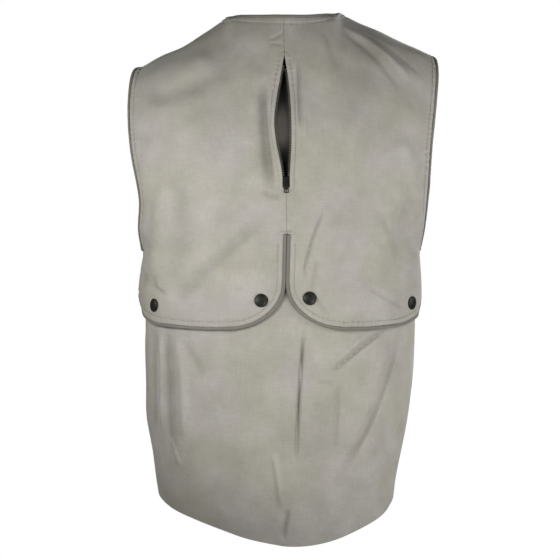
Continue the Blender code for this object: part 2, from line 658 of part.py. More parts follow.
def make_back_zip(metal, tape):
    heights = np.concatenate([np.linspace(-0.0360, -0.1930, 17), [-0.2100]])
    back, front = TAPE_FRONT - ZIP_TAPE, TAPE_FRONT
    for side, sign in SIDES.items():
        x = seam_x(heights) + sign * (mouth_width(side, heights) + SEAM_GAP / 2)
        share = share_at("back", level_of("back", 0.0, heights), x)
        points, normals = panel("back", share, level_of("back", share, heights), 0.0, CAPE_FOLDS)
        inward = unit(np.cross(np.gradient(points, axis=0), normals))
        inward = inward * np.sign(-sign * inward[:, :1])
        reach = np.minimum(TEETH_REACH, mouth_width(side, heights) - SEAM_GAP)[:, None]
        gap = np.full(reach.shape, SEAM_GAP)
        hidden = np.full(reach.shape, -TAPE_HIDDEN)
        teeth = front + TEETH_STAND
        profile = ((hidden, back), (reach, back), (reach, teeth), (gap, teeth), (gap, front), (hidden, front))
        stack = [points + inward * across + normals * out for across, out in profile]
        swept(f"back_zip_tape_{side}", np.stack(stack, 1), tape)
    slider_and_tab("back", BACK_SLIDER_Z, seam_x(BACK_SLIDER_Z), metal)


def make_front_zip(metal, tape):
    low = form("front", 0.0, 0.0)[2] + 0.004
    heights = np.linspace(low, FRONT_SLIDER_Z - 0.003, 16)
    points, normals = panel("front", 0.0, level_of("front", 0.0, heights))
    aside = np.array([1.0, 0.0, 0.0])
    back, front = TAPE_FRONT - ZIP_TAPE, TAPE_FRONT
    teeth = front + TEETH_STAND
    edge, reach = FRONT_GAP + TAPE_HIDDEN, TEETH_REACH
    profile = ((-edge, back), (edge, back), (edge, front), (reach, front))
    profile += ((reach, teeth), (-reach, teeth), (-reach, front), (-edge, front))
    stack = [points + aside * across + normals * out for across, out in profile]
    swept("front_zip_tape", np.stack(stack, 1), tape)
    slider_and_tab("front", FRONT_SLIDER_Z, 0.0, metal)


def joined_boxes(name, boxes, place, material):
    """Overlapping boxes, given by centre and size, joined into one solid."""
    parts = []
    for centre, size in boxes:
        mesh = bpy.data.meshes.new(name)
        work = bmesh.new()
        made = bmesh.ops.create_cube(work, size=1.0)
        bmesh.ops.scale(work, vec=Vector(size), verts=made["verts"])
        bmesh.ops.translate(work, vec=Vector(centre), verts=made["verts"])
        work.to_mesh(mesh)
        work.free()
        parts.append(bpy.data.objects.new(name, mesh))
        bpy.context.scene.collection.objects.link(parts[-1])
        parts[-1].matrix_world = place
    body = parts[0]
    body.data.materials.append(material)
    for other in parts[1:]:
        join = body.modifiers.new("Join", "BOOLEAN")
        join.operation = "UNION"
        join.solver = "EXACT"
        join.object = other
        other.hide_render = True
        other.display_type = "WIRE"
    return body


def slider_and_tab(half, z, x, metal):
    """The slider with its bridge, and the pull tab that swings on it. Local +Y is away from the cloth."""
    share = share_at(half, level_of(half, 0.0, z), x)
    level = level_of(half, share, z)
    centre, normal = form(half, share, level), outward(half, share, level)
    up = unit(np.array([0.0, 0.0, 1.0]) - normal * normal[2])
    place = Matrix((*zip(np.cross(normal, up), normal, up, centre, strict=True), (0.0, 0.0, 0.0, 1.0)))
    low = TAPE_FRONT + TEETH_STAND + SEAM_GAP
    high = low + PLATE
    behind = TAPE_FRONT - ZIP_TAPE - SEAM_GAP - BACK_PLATE
    post_z, post_length = SLIDER_LENGTH * 0.42, SLIDER_LENGTH * 0.12
    lift = high + BRIDGE_RISE / 2 - PLATE / 8
    bridge_length = BRIDGE_TOP_Z - BRIDGE_LOW_Z
    bridge_z = (BRIDGE_TOP_Z + BRIDGE_LOW_Z) / 2
    boxes = (
        ((0, (low + high) / 2, 0), (SLIDER_WIDTH, PLATE, SLIDER_LENGTH)),
        ((0, behind + BACK_PLATE / 2, 0), (SLIDER_WIDTH * 0.92, BACK_PLATE, SLIDER_LENGTH * 0.94)),
        ((0, (low + behind) / 2 + PLATE / 4, post_z), (POST, low - behind, post_length)),
        ((0, lift, BRIDGE_TOP_Z), (BRIDGE, BRIDGE_RISE, BRIDGE_WALL)),
        ((0, lift, BRIDGE_LOW_Z), (BRIDGE, BRIDGE_RISE, BRIDGE_WALL)),
        (
            (0, high + BRIDGE_RISE - BRIDGE_WALL * 0.7, bridge_z),
            (BRIDGE * 0.98, BRIDGE_WALL, bridge_length + BRIDGE_WALL * 0.6),
        ),
    )
    joined_boxes(f"{half}_zip_slider", boxes, place, metal)
    ring_z = -TAB_LENGTH + TAB_THICK
    neck_x, ring_x = (TAB_EYE + TAB_ARM) / 2, (TAB_WIDTH - TAB_ARM) / 2
    window_z, window = (TAB_PLATE_Z + ring_z) / 2, TAB_PLATE_Z - ring_z
    tab_boxes = [
        ((0, 0, 0), (TAB_EYE + 2 * TAB_ARM, TAB_THICK, TAB_THICK)),
        ((0, 0, TAB_PLATE_Z), (TAB_WIDTH, TAB_THICK * 0.96, TAB_PLATE)),
        ((0, 0, ring_z), (TAB_WIDTH * 0.99, TAB_THICK * 0.92, TAB_THICK * 1.2)),
    ]
    for sign in SIDES.values():
        tab_boxes.append(((sign * neck_x, 0, TAB_PLATE_Z / 2), (TAB_ARM, TAB_THICK * 0.98, -TAB_PLATE_Z)))
        tab_boxes.append(((sign * ring_x, 0, window_z), (TAB_ARM, TAB_THICK * 0.94, window)))
    hinge = bpy.data.objects.new(f"{half}_tab_hinge", None)
    bpy.context.scene.collection.objects.link(hinge)
    hinge.matrix_world = place @ Matrix.Translation((0, high + HINGE_RISE, HINGE_Z))
    tab = joined_boxes(f"{half}_zip_tab", tab_boxes, hinge.matrix_world, metal)
    for obj in (tab, *(modifier.object for modifier in tab.modifiers)):
        obj.parent = hinge
        obj.matrix_parent_inverse = hinge.matrix_world.inverted()


def make_studs(capes, metal):
    """Caps seated on the flaps."""
    angles = np.linspace(0, 2 * math.pi, 20, endpoint=False)
    count = len(angles)
    for name, (x, z) in STUDS.items():
        points = capes[name.split("_")[1]][0]
        tree = BVHTree.FromPolygons([tuple(p) for p in points.reshape(-1, 3)], grid_faces(*points.shape[:2]))
        place, normal, _, _ = tree.ray_cast(Vector((x, -1, z)), Vector((0, 1, 0)))
        if normal.y > 0:
            normal = -normal
        turn = normal.to_track_quat("Z", "Y")
        seat = place + normal * SEAM_GAP
        rings = []
        for radius, height in STUD_PROFILE:
            for angle in angles:
                aside = Vector((math.cos(angle), math.sin(angle), 0)) * radius * STUD_RADIUS
                rings.append(seat + turn @ (aside + Vector((0, 0, height * STUD_HEIGHT))))
        swept(f"stud_{name}", np.array(rings).reshape(-1, count, 3), metal)


def finish(name, colour, roughness, metallic=0.0):
    material = bpy.data.materials.new(name)
    material.use_nodes = True
    shader = material.node_tree.nodes["Principled BSDF"]
    shader.inputs["Base Color"].default_value = (*colour, 1.0)
    shader.inputs["Roughness"].default_value = roughness
    shader.inputs["Metallic"].default_value = metallic
    return material


def main():
    for obj in list(bpy.data.objects):
        bpy.data.objects.remove(obj)
    cloth = finish("Khaki cotton twill", (0.37, 0.355, 0.315), 0.85)
    binding = finish("Binding tape", (0.235, 0.225, 0.19), 0.8)
    lining = finish("Dark lining", (0.085, 0.08, 0.07), 0.9)
    metal = finish("Blackened metal", (0.035, 0.035, 0.033), 0.35, 0.8)
    tape = finish("Zip tape", (0.03, 0.03, 0.028), 0.8)
    capes = make_capes(cloth, binding)
    make_pouch(cloth)
    make_lining(lining)
    fronts = make_fronts(cloth)
    make_bindings(capes, fronts, binding)
    make_back_zip(metal, tape)
    make_front_zip(metal, tape)
    make_studs(capes, metal)


main()
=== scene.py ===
"""Looks of a hunting vest filled out as if worn, around its fixed frame of solids.

Metres, +Z up, the wearer faces +Y, so the back faces -Y and the wearer's left is at -X. The outside of the
garment is one smooth form. A point of it is named by a half (back or front), by a share across (-1 at the
left side seam or armhole, 0 at the centre line, 1 at the right) and by a level (0 at the hem, UNDERARM,
BLADE at the shoulder blades, TOP at the neckline and shoulder seams). Each cloth piece is a dense grid on
that form, moved out and in by its place in the layers, its folds and the pull of its stitching.
"""

import functools
import json
import math

import bmesh
import bpy
import numpy as np
from bpy.props import FloatProperty, FloatVectorProperty, PointerProperty
from mathutils import Matrix, Vector
from mathutils.bvhtree import BVHTree
from mathutils.kdtree import KDTree


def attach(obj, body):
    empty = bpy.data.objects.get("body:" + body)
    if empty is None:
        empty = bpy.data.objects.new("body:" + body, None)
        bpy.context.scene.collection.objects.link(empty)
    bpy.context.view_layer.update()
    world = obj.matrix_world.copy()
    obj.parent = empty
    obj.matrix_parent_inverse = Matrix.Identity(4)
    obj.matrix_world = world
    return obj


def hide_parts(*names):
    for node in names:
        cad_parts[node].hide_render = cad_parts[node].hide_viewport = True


bl_info = {
    "name": "Hunting vest",
    "version": (1, 0, 0),
    "blender": (4, 5, 0),
    "location": "3D View > Sidebar > Vest",
    "description": "Cloth, bindings, stitching, zips and press studs of a hunting vest",
    "category": "Object",
}

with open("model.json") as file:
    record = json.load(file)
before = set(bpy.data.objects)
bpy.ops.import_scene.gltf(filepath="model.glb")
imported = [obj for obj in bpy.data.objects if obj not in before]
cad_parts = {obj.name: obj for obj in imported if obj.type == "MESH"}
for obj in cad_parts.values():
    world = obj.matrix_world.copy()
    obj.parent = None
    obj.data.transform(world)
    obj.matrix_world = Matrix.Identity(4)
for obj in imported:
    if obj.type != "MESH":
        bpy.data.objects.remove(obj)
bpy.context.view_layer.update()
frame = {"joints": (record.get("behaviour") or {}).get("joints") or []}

# Levels of the form, and the layers of the garment
UNDERARM, BLADE, TOP = 7, 8, 9
SIDES = {"left": -1, "right": 1}
SEAM_GAP = 0.0003  # between pieces that are sewn together
LINING_DEPTH = 0.0050  # from the outside of the back to the outside of the lining
LINING_EDGE_DEPTH = {"below": 0.0022, "armhole": 0.0030}  # the same where the lining is sewn in

# Form below the arms: heights at the centre back, side seam and centre front, half widths of the left and
# right side, and depths of back and front from the plane of the side seams
RING_COLUMNS = ("z_back", "z_side", "z_front", "left", "right", "back", "front")
RINGS = (
    (-0.681, -0.608, -0.598, 0.1715, 0.1515, 0.098, 0.116),  # hem
    (-0.645, -0.579, -0.570, 0.1765, 0.1555, 0.114, 0.121),
    (-0.598, -0.543, -0.537, 0.1822, 0.1625, 0.127, 0.125),
    (-0.540, -0.502, -0.498, 0.1880, 0.1702, 0.134, 0.128),
    (-0.476, -0.455, -0.453, 0.1883, 0.1757, 0.137, 0.130),
    (-0.405, -0.402, -0.402, 0.1890, 0.1787, 0.134, 0.131),
    (-0.345, -0.346, -0.346, 0.1890, 0.1787, 0.130, 0.132),
    (-0.290, -0.290, -0.290, 0.1920, 0.1845, 0.127, 0.131),  # underarm
)
SQUARENESS = 2.5  # of the rings: 2 is an ellipse
TYPICAL_WIDTH, TYPICAL_DEPTH = 0.188, 0.130  # half width and depth of a ring at the middle of the back
SIDE_RISE = 1.55  # how late along a ring its height turns from the centre's to the side's
BULGE_COLUMNS = ("share", "spread", "size")
HEM_DIPS = ((0.27, 0.24, 0.0070), (0.58, 0.17, 0.0060))  # where the hem hangs lower
HEM_DIP_LEVELS = 3  # above the hem, over which a dip fades out
HEM_CURL = (-0.55, 0.40, 0.0110)  # where the back of the hem turns under
HEM_CURL_LEVELS = 3.2  # above the hem, over which the turn fades out
HEM_CURL_SIDE = 0.15  # share across, over which it fades out towards the side seam
BLADE_Z = -0.170
BLADE_DEPTH = {"back": 0.121, "front": 0.128}
BLADE_TO_TOP = 0.19  # pull of the cloth from the blades towards the shoulders

# Cut edge of the armholes: half widths at each height, and how far it swings from the side plane
ARMHOLE_COLUMNS = ("z", "back_left", "back_right", "front_left", "front_right")
ARMHOLE = (
    (-0.290, 0.1920, 0.1845, 0.1920, 0.1845),
    (-0.264, 0.1948, 0.1880, 0.1870, 0.1810),
    (-0.225, 0.1925, 0.1910, 0.1835, 0.1785),
    (-0.170, 0.2012, 0.1945, 0.1840, 0.1800),
)
ARMHOLE_REACH = {"back": 0.062, "front": 0.074}

# Shoulder seams, from the neck to the tips, as half widths and heights
SHOULDER_COLUMNS = ("share", "x_left", "z_left", "x_right", "z_right")
SHOULDER = (
    (0.00, 0.0795, 0.0300, 0.0770, 0.0362),
    (0.20, 0.1037, 0.0106, 0.1019, 0.0222),
    (0.45, 0.1333, -0.0080, 0.1330, 0.0088),
    (0.75, 0.1680, -0.0242, 0.1704, -0.0094),
    (1.00, 0.1980, -0.0400, 0.2008, -0.0248),
)
SHOULDER_END_DROP = {"left": 0.026, "right": 0.038}  # turn of the cloth towards the tips
DROP_FROM = 0.6  # share across at which that turn sets in
PULL_COLUMNS = ("share", "pull")  # how straight the cloth runs up to the neckline and shoulder seam
TOP_PULL = ((0.0, 0.13), (0.33, 0.14), (0.66, 0.18), (1.0, 0.13))
NECK_SHARE = 0.33  # share across at which neckline and shoulder seam meet
NECK_BACK = (-0.0660, 0.0212)  # y and z of the centre back of the neckline
NECK_FRONT = (0.0780, -0.0300)  # the form goes on to here, inside the V that is cut from the fronts
NECK_LEAN = 22  # degrees from upright of the cloth at the centre of the neckline
NECK_CORNER_DROP, NECK_CORNER_REACH = 0.0018, 0.0120  # how the neck corners sink under the binding's turn

# The two capes: their back zip, the slit between them and their rounded flaps
SEAM_LEAN = (-0.0005, 0.0035)  # x of the centre back seam at the neck and at the top of the slit
SLIT_Z = -0.269
SLIT_SWING = 0.0032  # of the slit's foot to the left
SLIT_HALF = 0.0036 + 1.5 * SEAM_GAP  # from the seam's line to a flap's cut edge, which its piping fills
FLAP_Z = -0.3920
FLAP_OUTER_RISE = 0.006
FLAP_RISE_FROM, FLAP_RISE_OVER = 0.35, 0.45  # shares across in which the bottom edge rises
FLAP_CORNERS = {"left": (0.265, 0.46), "right": (0.285, 0.48)}  # inner: shares of its width and height
FLAP_OUTER_CORNERS = {"left": (0.60, 0.45), "right": (0.56, 0.47)}  # outer: where the bottom ends, and height
FLAP_SIDE = 0.968  # share across of the free side edge
FLAP_FREE = 0.62  # share of the flap's height up to which its side is free
FLAP_CORNER_ROWS = 44
FLAP_ROW = 0.014  # share of its height from one row to the next, above the corners
FLAP_BELLY_FROM, FLAP_BELLY_OVER = 0.62, 0.25  # shares across in which a flap bellies out to the side
FLAP_SEAM_OVER = 0.045  # share across in which it comes back to the side seam

# How far a flap stands off the pouch in its middle, towards the side and at the side seam, up its height
FLAP_LIFT_COLUMNS = ("height", "middle", "side", "seam")
FLAP_LIFT = (
    (0.00, 0.0040, 0.0034, 0.0022),
    (0.15, 0.0042, 0.0054, 0.0022),
    (0.37, 0.0040, 0.0092, 0.0022),
    (0.62, 0.0026, 0.0074, 0.0022),
    (0.85, 0.0010, 0.0030, 0.0020),
    (1.00, 0.0000, 0.0000, 0.0000),
)

# The back zip's mouth: how far it opens from the seam's line
MOUTH_COLUMNS = ("z", "left", "right")
MOUTH = (
    (-0.0300, 0.0000, 0.0000),
    (-0.0660, 0.0066, 0.0050),
    (-0.0950, 0.0118, 0.0072),
    (-0.1250, 0.0144, 0.0079),
    (-0.1520, 0.0116, 0.0074),
    (-0.1800, 0.0066, 0.0056),
    (-0.1930, 0.0048, 0.0048),
    (-0.2080, 0.0046, 0.0046),
    (-0.2105, 0.0010, 0.0010),
    (-0.2150, 0.0000, 0.0000),
)
MOUTH_TOP_Z, MOUTH_LOW_Z = MOUTH[0][0], MOUTH[-1][0]
MOUTH_FOOT = 2  # rows at the foot that straight lines join

# The pouch: heights of its top edge at the middle and the sides, and its part below the flaps
POUCH_TOP_Z = -0.335
POUCH_SIDE_Z = -0.314
POUCH_HEIGHT = 0.335  # along the cloth, about
POUCH_FREE_Z, POUCH_FREE_OVER = FLAP_Z + 0.004, 0.02

# Press studs, as seen from straight behind, and their caps' rings as shares of radius and height
STUDS = {
    "outer_left": (-0.1725, -0.3635),
    "inner_left": (-0.0300, -0.3568),
    "inner_right": (0.0333, -0.3540),
    "outer_right": (0.1705, -0.3605),
}
STUD_RINGS = (
    (0.80, 0.00), (0.97, 0.08), (1.00, 0.22), (0.985, 0.36), (0.95, 0.44), (0.90, 0.47), (0.86, 0.46),
    (0.80, 0.54), (0.66, 0.72), (0.48, 0.87), (0.28, 0.96), (0.10, 0.995),
)
STUD_SEGMENTS = 48

# Zips. Offsets are from the form along its normal, and heights on a slider are from its middle
TAPE_BACK, TAPE_FACE = -0.0028, -0.0018  # of the back zip's tape
TAPE_HIDDEN = 0.0105  # of it, behind the cape
TAPE_SHOWN = 0.0005  # of it, inside the mouth
TAPE_PLACES = 9  # across, so that it follows the cape's folds
BACK_TAPE_Z = (-0.0345, -0.2100)
BACK_TAPE_STEP = 0.0015
BACK_TEETH = -0.0011
TEETH_MOUTH = 0.0026  # the mouth opens this far before its teeth show
FRONT_GAP = 0.0048  # half the gap between the two fronts, in which the teeth show
FRONT_TAPE_HALF = 0.0093
FRONT_TAPE_BACK, FRONT_TAPE_FACE = -0.0027, -0.0017
FRONT_TAPE_TOP_Z, FRONT_TAPE_RISE, FRONT_TAPE_STEP = -0.1860, 0.004, 0.0030
FRONT_TEETH, FRONT_TEETH_ASIDE = -0.0013, 0.0024
TOOTH = (0.0020, 0.0012, 0.0009)
TOOTH_RIM, TOOTH_NECK, TOOTH_HEAD = 0.00018, 0.0003, 0.0005
TOOTH_OUT = 0.0012  # of its middle, past the tape's edge
BACK_SLIDER_Z, FRONT_SLIDER_Z = -0.2010, -0.1830
SLIDER_WIDTH, SLIDER_LENGTH = 0.0082, 0.0135
PLATE_LOW, PLATE_HIGH = -0.0007, 0.0005
PLATE_TAPER = 0.86
BACK_PLATE_LOW, BACK_PLATE = -0.00384, 0.0009
BACK_PLATE_LESS = (0.0006, 0.0008)  # by which it is narrower and shorter
POST, POST_LENGTH, POST_Z = 0.0013, 0.0017, 0.0057
BRIDGE, BRIDGE_WALL, BRIDGE_RISE, BRIDGE_LENGTH = 0.0016, 0.0010, 0.0030, 0.0080
BRIDGE_FOOT, BRIDGE_FEET_Z = 0.0011, (0.0040, -0.0030)
BRIDGE_FOOT_OUT, BRIDGE_OUT = 0.0013, 0.0024  # middles of its feet and rail, off the slider's plate
TAB_THICK, TAB_ARM, TAB_WIDTH = 0.0010, 0.0011, 0.0062
TAB_EYE = 0.0029  # width of the eye round the bridge
TAB_PLATE, TAB_PLATE_Z = 0.0052, -0.0096  # height of the plate and its place from the pin
TAB_RING, TAB_RING_Z = 0.0013, -0.0165  # the same for the bar at the foot of the tab's window
TAB_TAPER = 0.94
BEVEL, PLATE_BEVEL, BACK_PLATE_BEVEL, POST_BEVEL = 0.0003, 0.00035, 0.00025, 0.00015
TEETH_SKIP = {"left": 0.25, "right": 0.75}  # of their pitch, so that the two rows take turns

# Folds, seen from straight behind or in front: a line from (x0, z0) to (x1, z1), how far its middle
# bows, the fold's half width and height (a trough's is negative), and how much wider one flank is than
# the other
FOLD_COLUMNS = ("x0", "z0", "x1", "z1", "bow", "width", "height", "skew")
FOLD_END = 0.25  # share of its length in which a fold rises at either end
CREASE_SHADE_DEPTH = 0.0060  # depth of a fold's trough at which the painted shade in it is darkest
CAPE_FOLDS = (
    (-0.040, -0.028, -0.037, -0.225, 0.0000, 0.0118, 0.0033, 0.0),
    (-0.027, -0.055, -0.012, -0.220, 0.0042, 0.0090, -0.0074, 0.5),
    (-0.190, -0.094, -0.085, -0.062, 0.0000, 0.0135, -0.0026, 0.0),
    (-0.179, -0.073, -0.091, -0.028, 0.0000, 0.0157, 0.0035, 0.0),
    (-0.167, -0.205, -0.171, -0.337, 0.0000, 0.0105, 0.0039, 0.0),
    (-0.139, -0.186, -0.150, -0.356, -0.0052, 0.0118, -0.0020, 0.0),
    (-0.021, -0.245, -0.147, -0.364, 0.0026, 0.0110, -0.0038, 0.35),
    (-0.045, -0.232, -0.150, -0.330, 0.0026, 0.0157, 0.0039, 0.0),
    (-0.189, -0.312, -0.150, -0.351, 0.0052, 0.0029, -0.0026, 0.3),
    (-0.189, -0.322, -0.168, -0.335, 0.0013, 0.0024, -0.0017, 0.0),
    (-0.022, -0.010, 0.001, 0.003, 0.0016, 0.0019, -0.0012, 0.3),
    (-0.020, -0.0150, 0.000, -0.0165, 0.0000, 0.0017, -0.0008, 0.0),
    (-0.032, -0.212, -0.000, -0.222, 0.0013, 0.0033, -0.0026, 0.2),
    (0.018, -0.028, 0.022, -0.136, 0.0000, 0.0033, -0.0035, -0.3),
    (0.027, -0.055, 0.029, -0.160, 0.0000, 0.0066, 0.0026, 0.0),
    (0.031, -0.105, 0.033, -0.149, 0.0000, 0.0033, -0.0014, 0.0),
    (0.055, -0.230, 0.022, -0.337, 0.0039, 0.0021, -0.0028, -0.3),
    (0.044, -0.299, 0.035, -0.346, 0.0000, 0.0033, -0.0020, 0.2),
    (0.071, 0.013, 0.158, -0.081, -0.0079, 0.0046, -0.0023, 0.2),
    (0.086, 0.013, 0.189, -0.060, -0.0066, 0.0040, -0.0016, 0.2),
    (0.050, 0.011, 0.071, -0.055, -0.0026, 0.0046, -0.0014, 0.2),
    (0.078, 0.016, 0.173, -0.068, -0.0066, 0.0046, 0.0028, 0.0),
    (0.152, -0.140, 0.178, -0.225, -0.0052, 0.0118, 0.0035, 0.0),
    (0.183, -0.179, 0.147, -0.291, 0.0039, 0.0092, -0.0022, 0.0),
    (0.141, -0.219, 0.136, -0.288, 0.0000, 0.0105, 0.0026, 0.0),
    (0.120, -0.232, 0.152, -0.306, -0.0052, 0.0066, -0.0026, 0.0),
    (0.107, -0.338, 0.160, -0.368, 0.0013, 0.0033, -0.0017, 0.0),
    (0.042, -0.351, 0.057, -0.375, 0.0026, 0.0026, -0.0014, 0.0),
)
POUCH_FOLDS = (
    (0.027, -0.385, 0.015, -0.576, 0.0013, 0.0022, -0.0052, 0.2),
    (0.008, -0.385, 0.002, -0.579, 0.0013, 0.0105, 0.0035, 0.0),
    (0.141, -0.390, 0.055, -0.458, 0.0013, 0.0026, -0.0039, 0.3),
    (0.131, -0.385, 0.060, -0.443, 0.0013, 0.0039, 0.0033, 0.0),
    (0.042, -0.466, 0.063, -0.464, 0.0000, 0.0026, -0.0017, 0.0),
    (0.156, -0.389, 0.071, -0.595, -0.0092, 0.0052, -0.0040, 0.3),
    (0.140, -0.396, 0.080, -0.553, -0.0066, 0.0118, 0.0039, 0.0),
    (0.071, -0.458, 0.064, -0.563, 0.0000, 0.0039, -0.0020, 0.0),
    (-0.173, -0.385, -0.171, -0.553, 0.0000, 0.0046, -0.0057, 0.0),
    (-0.164, -0.389, -0.163, -0.540, 0.0000, 0.0039, 0.0035, 0.0),
    (-0.156, -0.385, -0.148, -0.579, -0.0013, 0.0052, -0.0043, 0.0),
    (-0.142, -0.390, -0.131, -0.553, -0.0026, 0.0066, 0.0033, 0.0),
    (-0.147, -0.402, -0.103, -0.464, -0.0039, 0.0066, -0.0018, 0.0),
    (-0.015, -0.553, -0.004, -0.632, -0.0013, 0.0037, 0.0033, 0.0),
    (0.006, -0.629, -0.003, -0.677, 0.0000, 0.0033, -0.0035, 0.0),
    (-0.155, -0.535, -0.137, -0.579, -0.0013, 0.0026, 0.0017, 0.0),
)
FRONT_FOLDS = (
    (-0.150, -0.235, -0.035, -0.360, 0.0040, 0.0120, 0.0043, 0.2),
    (-0.165, -0.262, -0.060, -0.395, 0.0030, 0.0070, -0.0032, 0.2),
    (0.145, -0.230, 0.035, -0.350, -0.0040, 0.0120, 0.0043, -0.2),
    (0.160, -0.258, 0.055, -0.400, -0.0030, 0.0070, -0.0032, -0.2),
    (-0.135, -0.390, -0.100, -0.590, 0.0030, 0.0100, 0.0048, 0.0),
    (-0.110, -0.420, -0.075, -0.600, 0.0030, 0.0060, -0.0029, 0.2),
    (0.125, -0.380, 0.095, -0.590, -0.0030, 0.0100, 0.0048, 0.0),
    (0.095, -0.400, 0.075, -0.595, -0.0030, 0.0060, -0.0029, -0.2),
    (-0.120, -0.060, -0.070, -0.170, 0.0050, 0.0080, -0.0025, 0.0),
    (0.125, -0.050, 0.075, -0.175, -0.0050, 0.0080, -0.0025, 0.0),
)
# The lining's two broad troughs, at the ends of the zip's mouth, hold its darkest painted shade
LINING_FOLDS = (
    (-0.009, -0.050, -0.006, -0.190, 0.0010, 0.0060, 0.0016, 0.0),
    (-0.006, 0.010, -0.006, -0.118, 0.0000, 0.0300, -0.0062, 0.0),
    (-0.004, -0.138, -0.002, -0.250, 0.0000, 0.0300, -0.0062, 0.0),
)

# Unevenness of cloth that hangs free: a few long soft waves that run all ways
WAVE_SEED = 11
WAVE_COUNT = 9
WAVE_LENGTHS = (0.035, 0.120)
WAVE_HEIGHT = 0.00034
# Shares across over which it fades out towards a seam, a cut edge or the front zip
WAVE_FADE = {"cape": 0.04, "pouch": 0.06, "front": 0.05, "front_zip": 0.04}

# Patterns of the finishes, with scales on Object coordinates or on the flat cut, both in metres
BAND_UNIT = 0.314  # a wave texture's bands are this far apart at scale 1
TWILL_SLANT = 63  # degrees
SLUB_SCALE, SLUB_STRETCH = 480.0, 0.13  # about 2 mm across a swollen thread, and 16 mm along it
DYE_SCALE, TINT_SCALE = 26.0, 13.0  # clouds about 40 and 80 mm across

# Rows of stitching, from the cut edge, and how the thread pulls the cloth
ARMHOLE_STITCH = 0.0066
FLAP_STITCH = 0.0072
NECK_STITCH = 0.0088
ZIP_STITCH = 0.0056
FRONT_ZIP_STITCH = 0.0070
STITCH_SINK, STITCH_GROOVE = 0.00060, 0.0011  # depth and half width of the groove that a row draws in
BAND_RISE, BAND_SLOPE = 0.00055, 0.0020  # of the doubled cloth between a row of stitching and the edge
PUCKER, PUCKER_PITCH = 0.00045, 0.0068  # height of the puckers beside a row, and their mean pitch
THREAD_FLAT, THREAD_OUT = 0.8, 0.18  # a stitch's height and how far out its middle is, to its thickness
CAPE_PULL = {"flap": 1.7, "armhole": 1.1, "neck": 1.1, "zip": 0.8}  # how much each row puckers the cloth
FRONT_PULL = {"armhole": 1.6, "neck": 0.7, "zip": 0.8}
BAR_TACK = (0.0085, 0.0020)  # half length and height of the tack above the slit
BAR_TACK_RISE, BAR_TACK_PLACES = 0.0015, 40  # of its lowest row over the slit's top, and places along a row
BINDING_STEP = 0.0022  # along a folded tape
BINDING_LAP = 0.0008  # of it over the cloth's cut edge

# Grids
SOFTENING = 60  # passes that even out the cloth below the neck corners
SOFT_FROM, SOFT_IN = BLADE - 0.4, 0.3  # level at which that begins, and the levels over which it grows
SOFT_TO, SOFT_OUT = TOP - 0.02, 0.22  # the same at its upper end
SOFT_COLUMNS = 8  # places from either edge over which it grows
GRID_STEP = 0.0014
POUCH_STEP = 0.0015
FRONT_STEP = 0.0026
FRONT_LEVELS = {"below": 0.045, "arm": 0.12, "above": 0.19}  # metres from one level to the next, about
FRONT_WAVES = 1.4  # of the fronts' unevenness to that of the back
LINING_STEP = 0.0034
LINING_ROWS = {"below": 0.07, "above": 0.025}  # levels from one row to the next
LINING_REACH = 0.992  # share of the width that the lining takes up
# From its sewn edges to its full depth: share across at the sides, and levels at the foot and at the top
LINING_SINK = {"side": 0.16, "foot": 1.2, "top": 0.5}
PATH_STEP = 0.0020  # along a row of stitching
INNER_STEP = 3  # cells of a cloth's outer side to one of its inner side
EDGE_ROUND = 0.0005  # how far a turned edge is rounded
ALL = slice(None)
INSIDE = {0: 3, -1: -4}  # places that lie a little inside a grid's first and last, for an edge's direction
# Index of each border of a grid, and of the places next to it
BORDERS = (((0,), (1,)), ((-1,), (-2,)), ((ALL, 0), (ALL, 1)), ((ALL, -1), (ALL, -2)))

# The lining's panels: name, levels that they reach over, and the shares across between which they run
LINING_LEVELS = {"low": (0.15, 5.996), "high": (6.004, 8.92)}
LINING_PANELS = (
    ("pouch_lining", "low", -1.0, 1.0),
    ("back_lining_left", "high", -1.0, -1 / 3),
    ("back_lining", "high", -1 / 3, 1 / 3),
    ("back_lining_right", "high", 1 / 3, 1.0),
)

# Stage. A light's turn is to the right of straight behind the vest, in degrees
CAMERA = {"place": (-0.0055, -2.8, -0.33), "lens": 131.4, "sensor": 36.0}
FLOOR_Z, FLOOR_RADIUS, FLOOR_COLOUR = -1.45, 5.0, "#f4f3f1"
FLOOR_GLOW = 0.72  # the far wall's light on the floor, seen by the camera alone
AMBIENT = 0.05
LIGHT_AIM = (0.0, -0.10, -0.30)
LIGHT_COLUMNS = ("name", "turn", "rise", "away", "size", "power")
LIGHTS = (
    ("left_key", -38, 9, 0.62, 0.34, 3.2),
    ("left_side", -75, 15, 0.90, 0.30, 1.3),
    ("right_key", 38, -22, 0.95, 0.34, 4.25),
    ("right_side", 75, 5, 0.90, 0.30, 2.2),
    ("right_high", 45, 25, 0.90, 0.30, 1.6),
    ("ahead_left", -172, 14, 1.60, 0.60, 9.0),
    ("ahead_right", 148, 24, 1.60, 0.60, 16.0),
)


def linear(hex_colour):
    """An sRGB hex colour as linear red, green and blue."""
    parts = [int(hex_colour[i : i + 2], 16) / 255 for i in (1, 3, 5)]
    return tuple(c / 12.92 if c <= 0.04045 else ((c + 0.055) / 1.055) ** 2.4 for c in parts)


def length_property(name, description, default):
    """A length in metres that a user can change."""
    return FloatProperty(name=name, description=description, default=default, unit="LENGTH")


def colour_property(name, description, default):
    """A colour that a user can change, with an sRGB hex default."""
    return FloatVectorProperty(name=name, description=description, subtype="COLOR", default=linear(default))


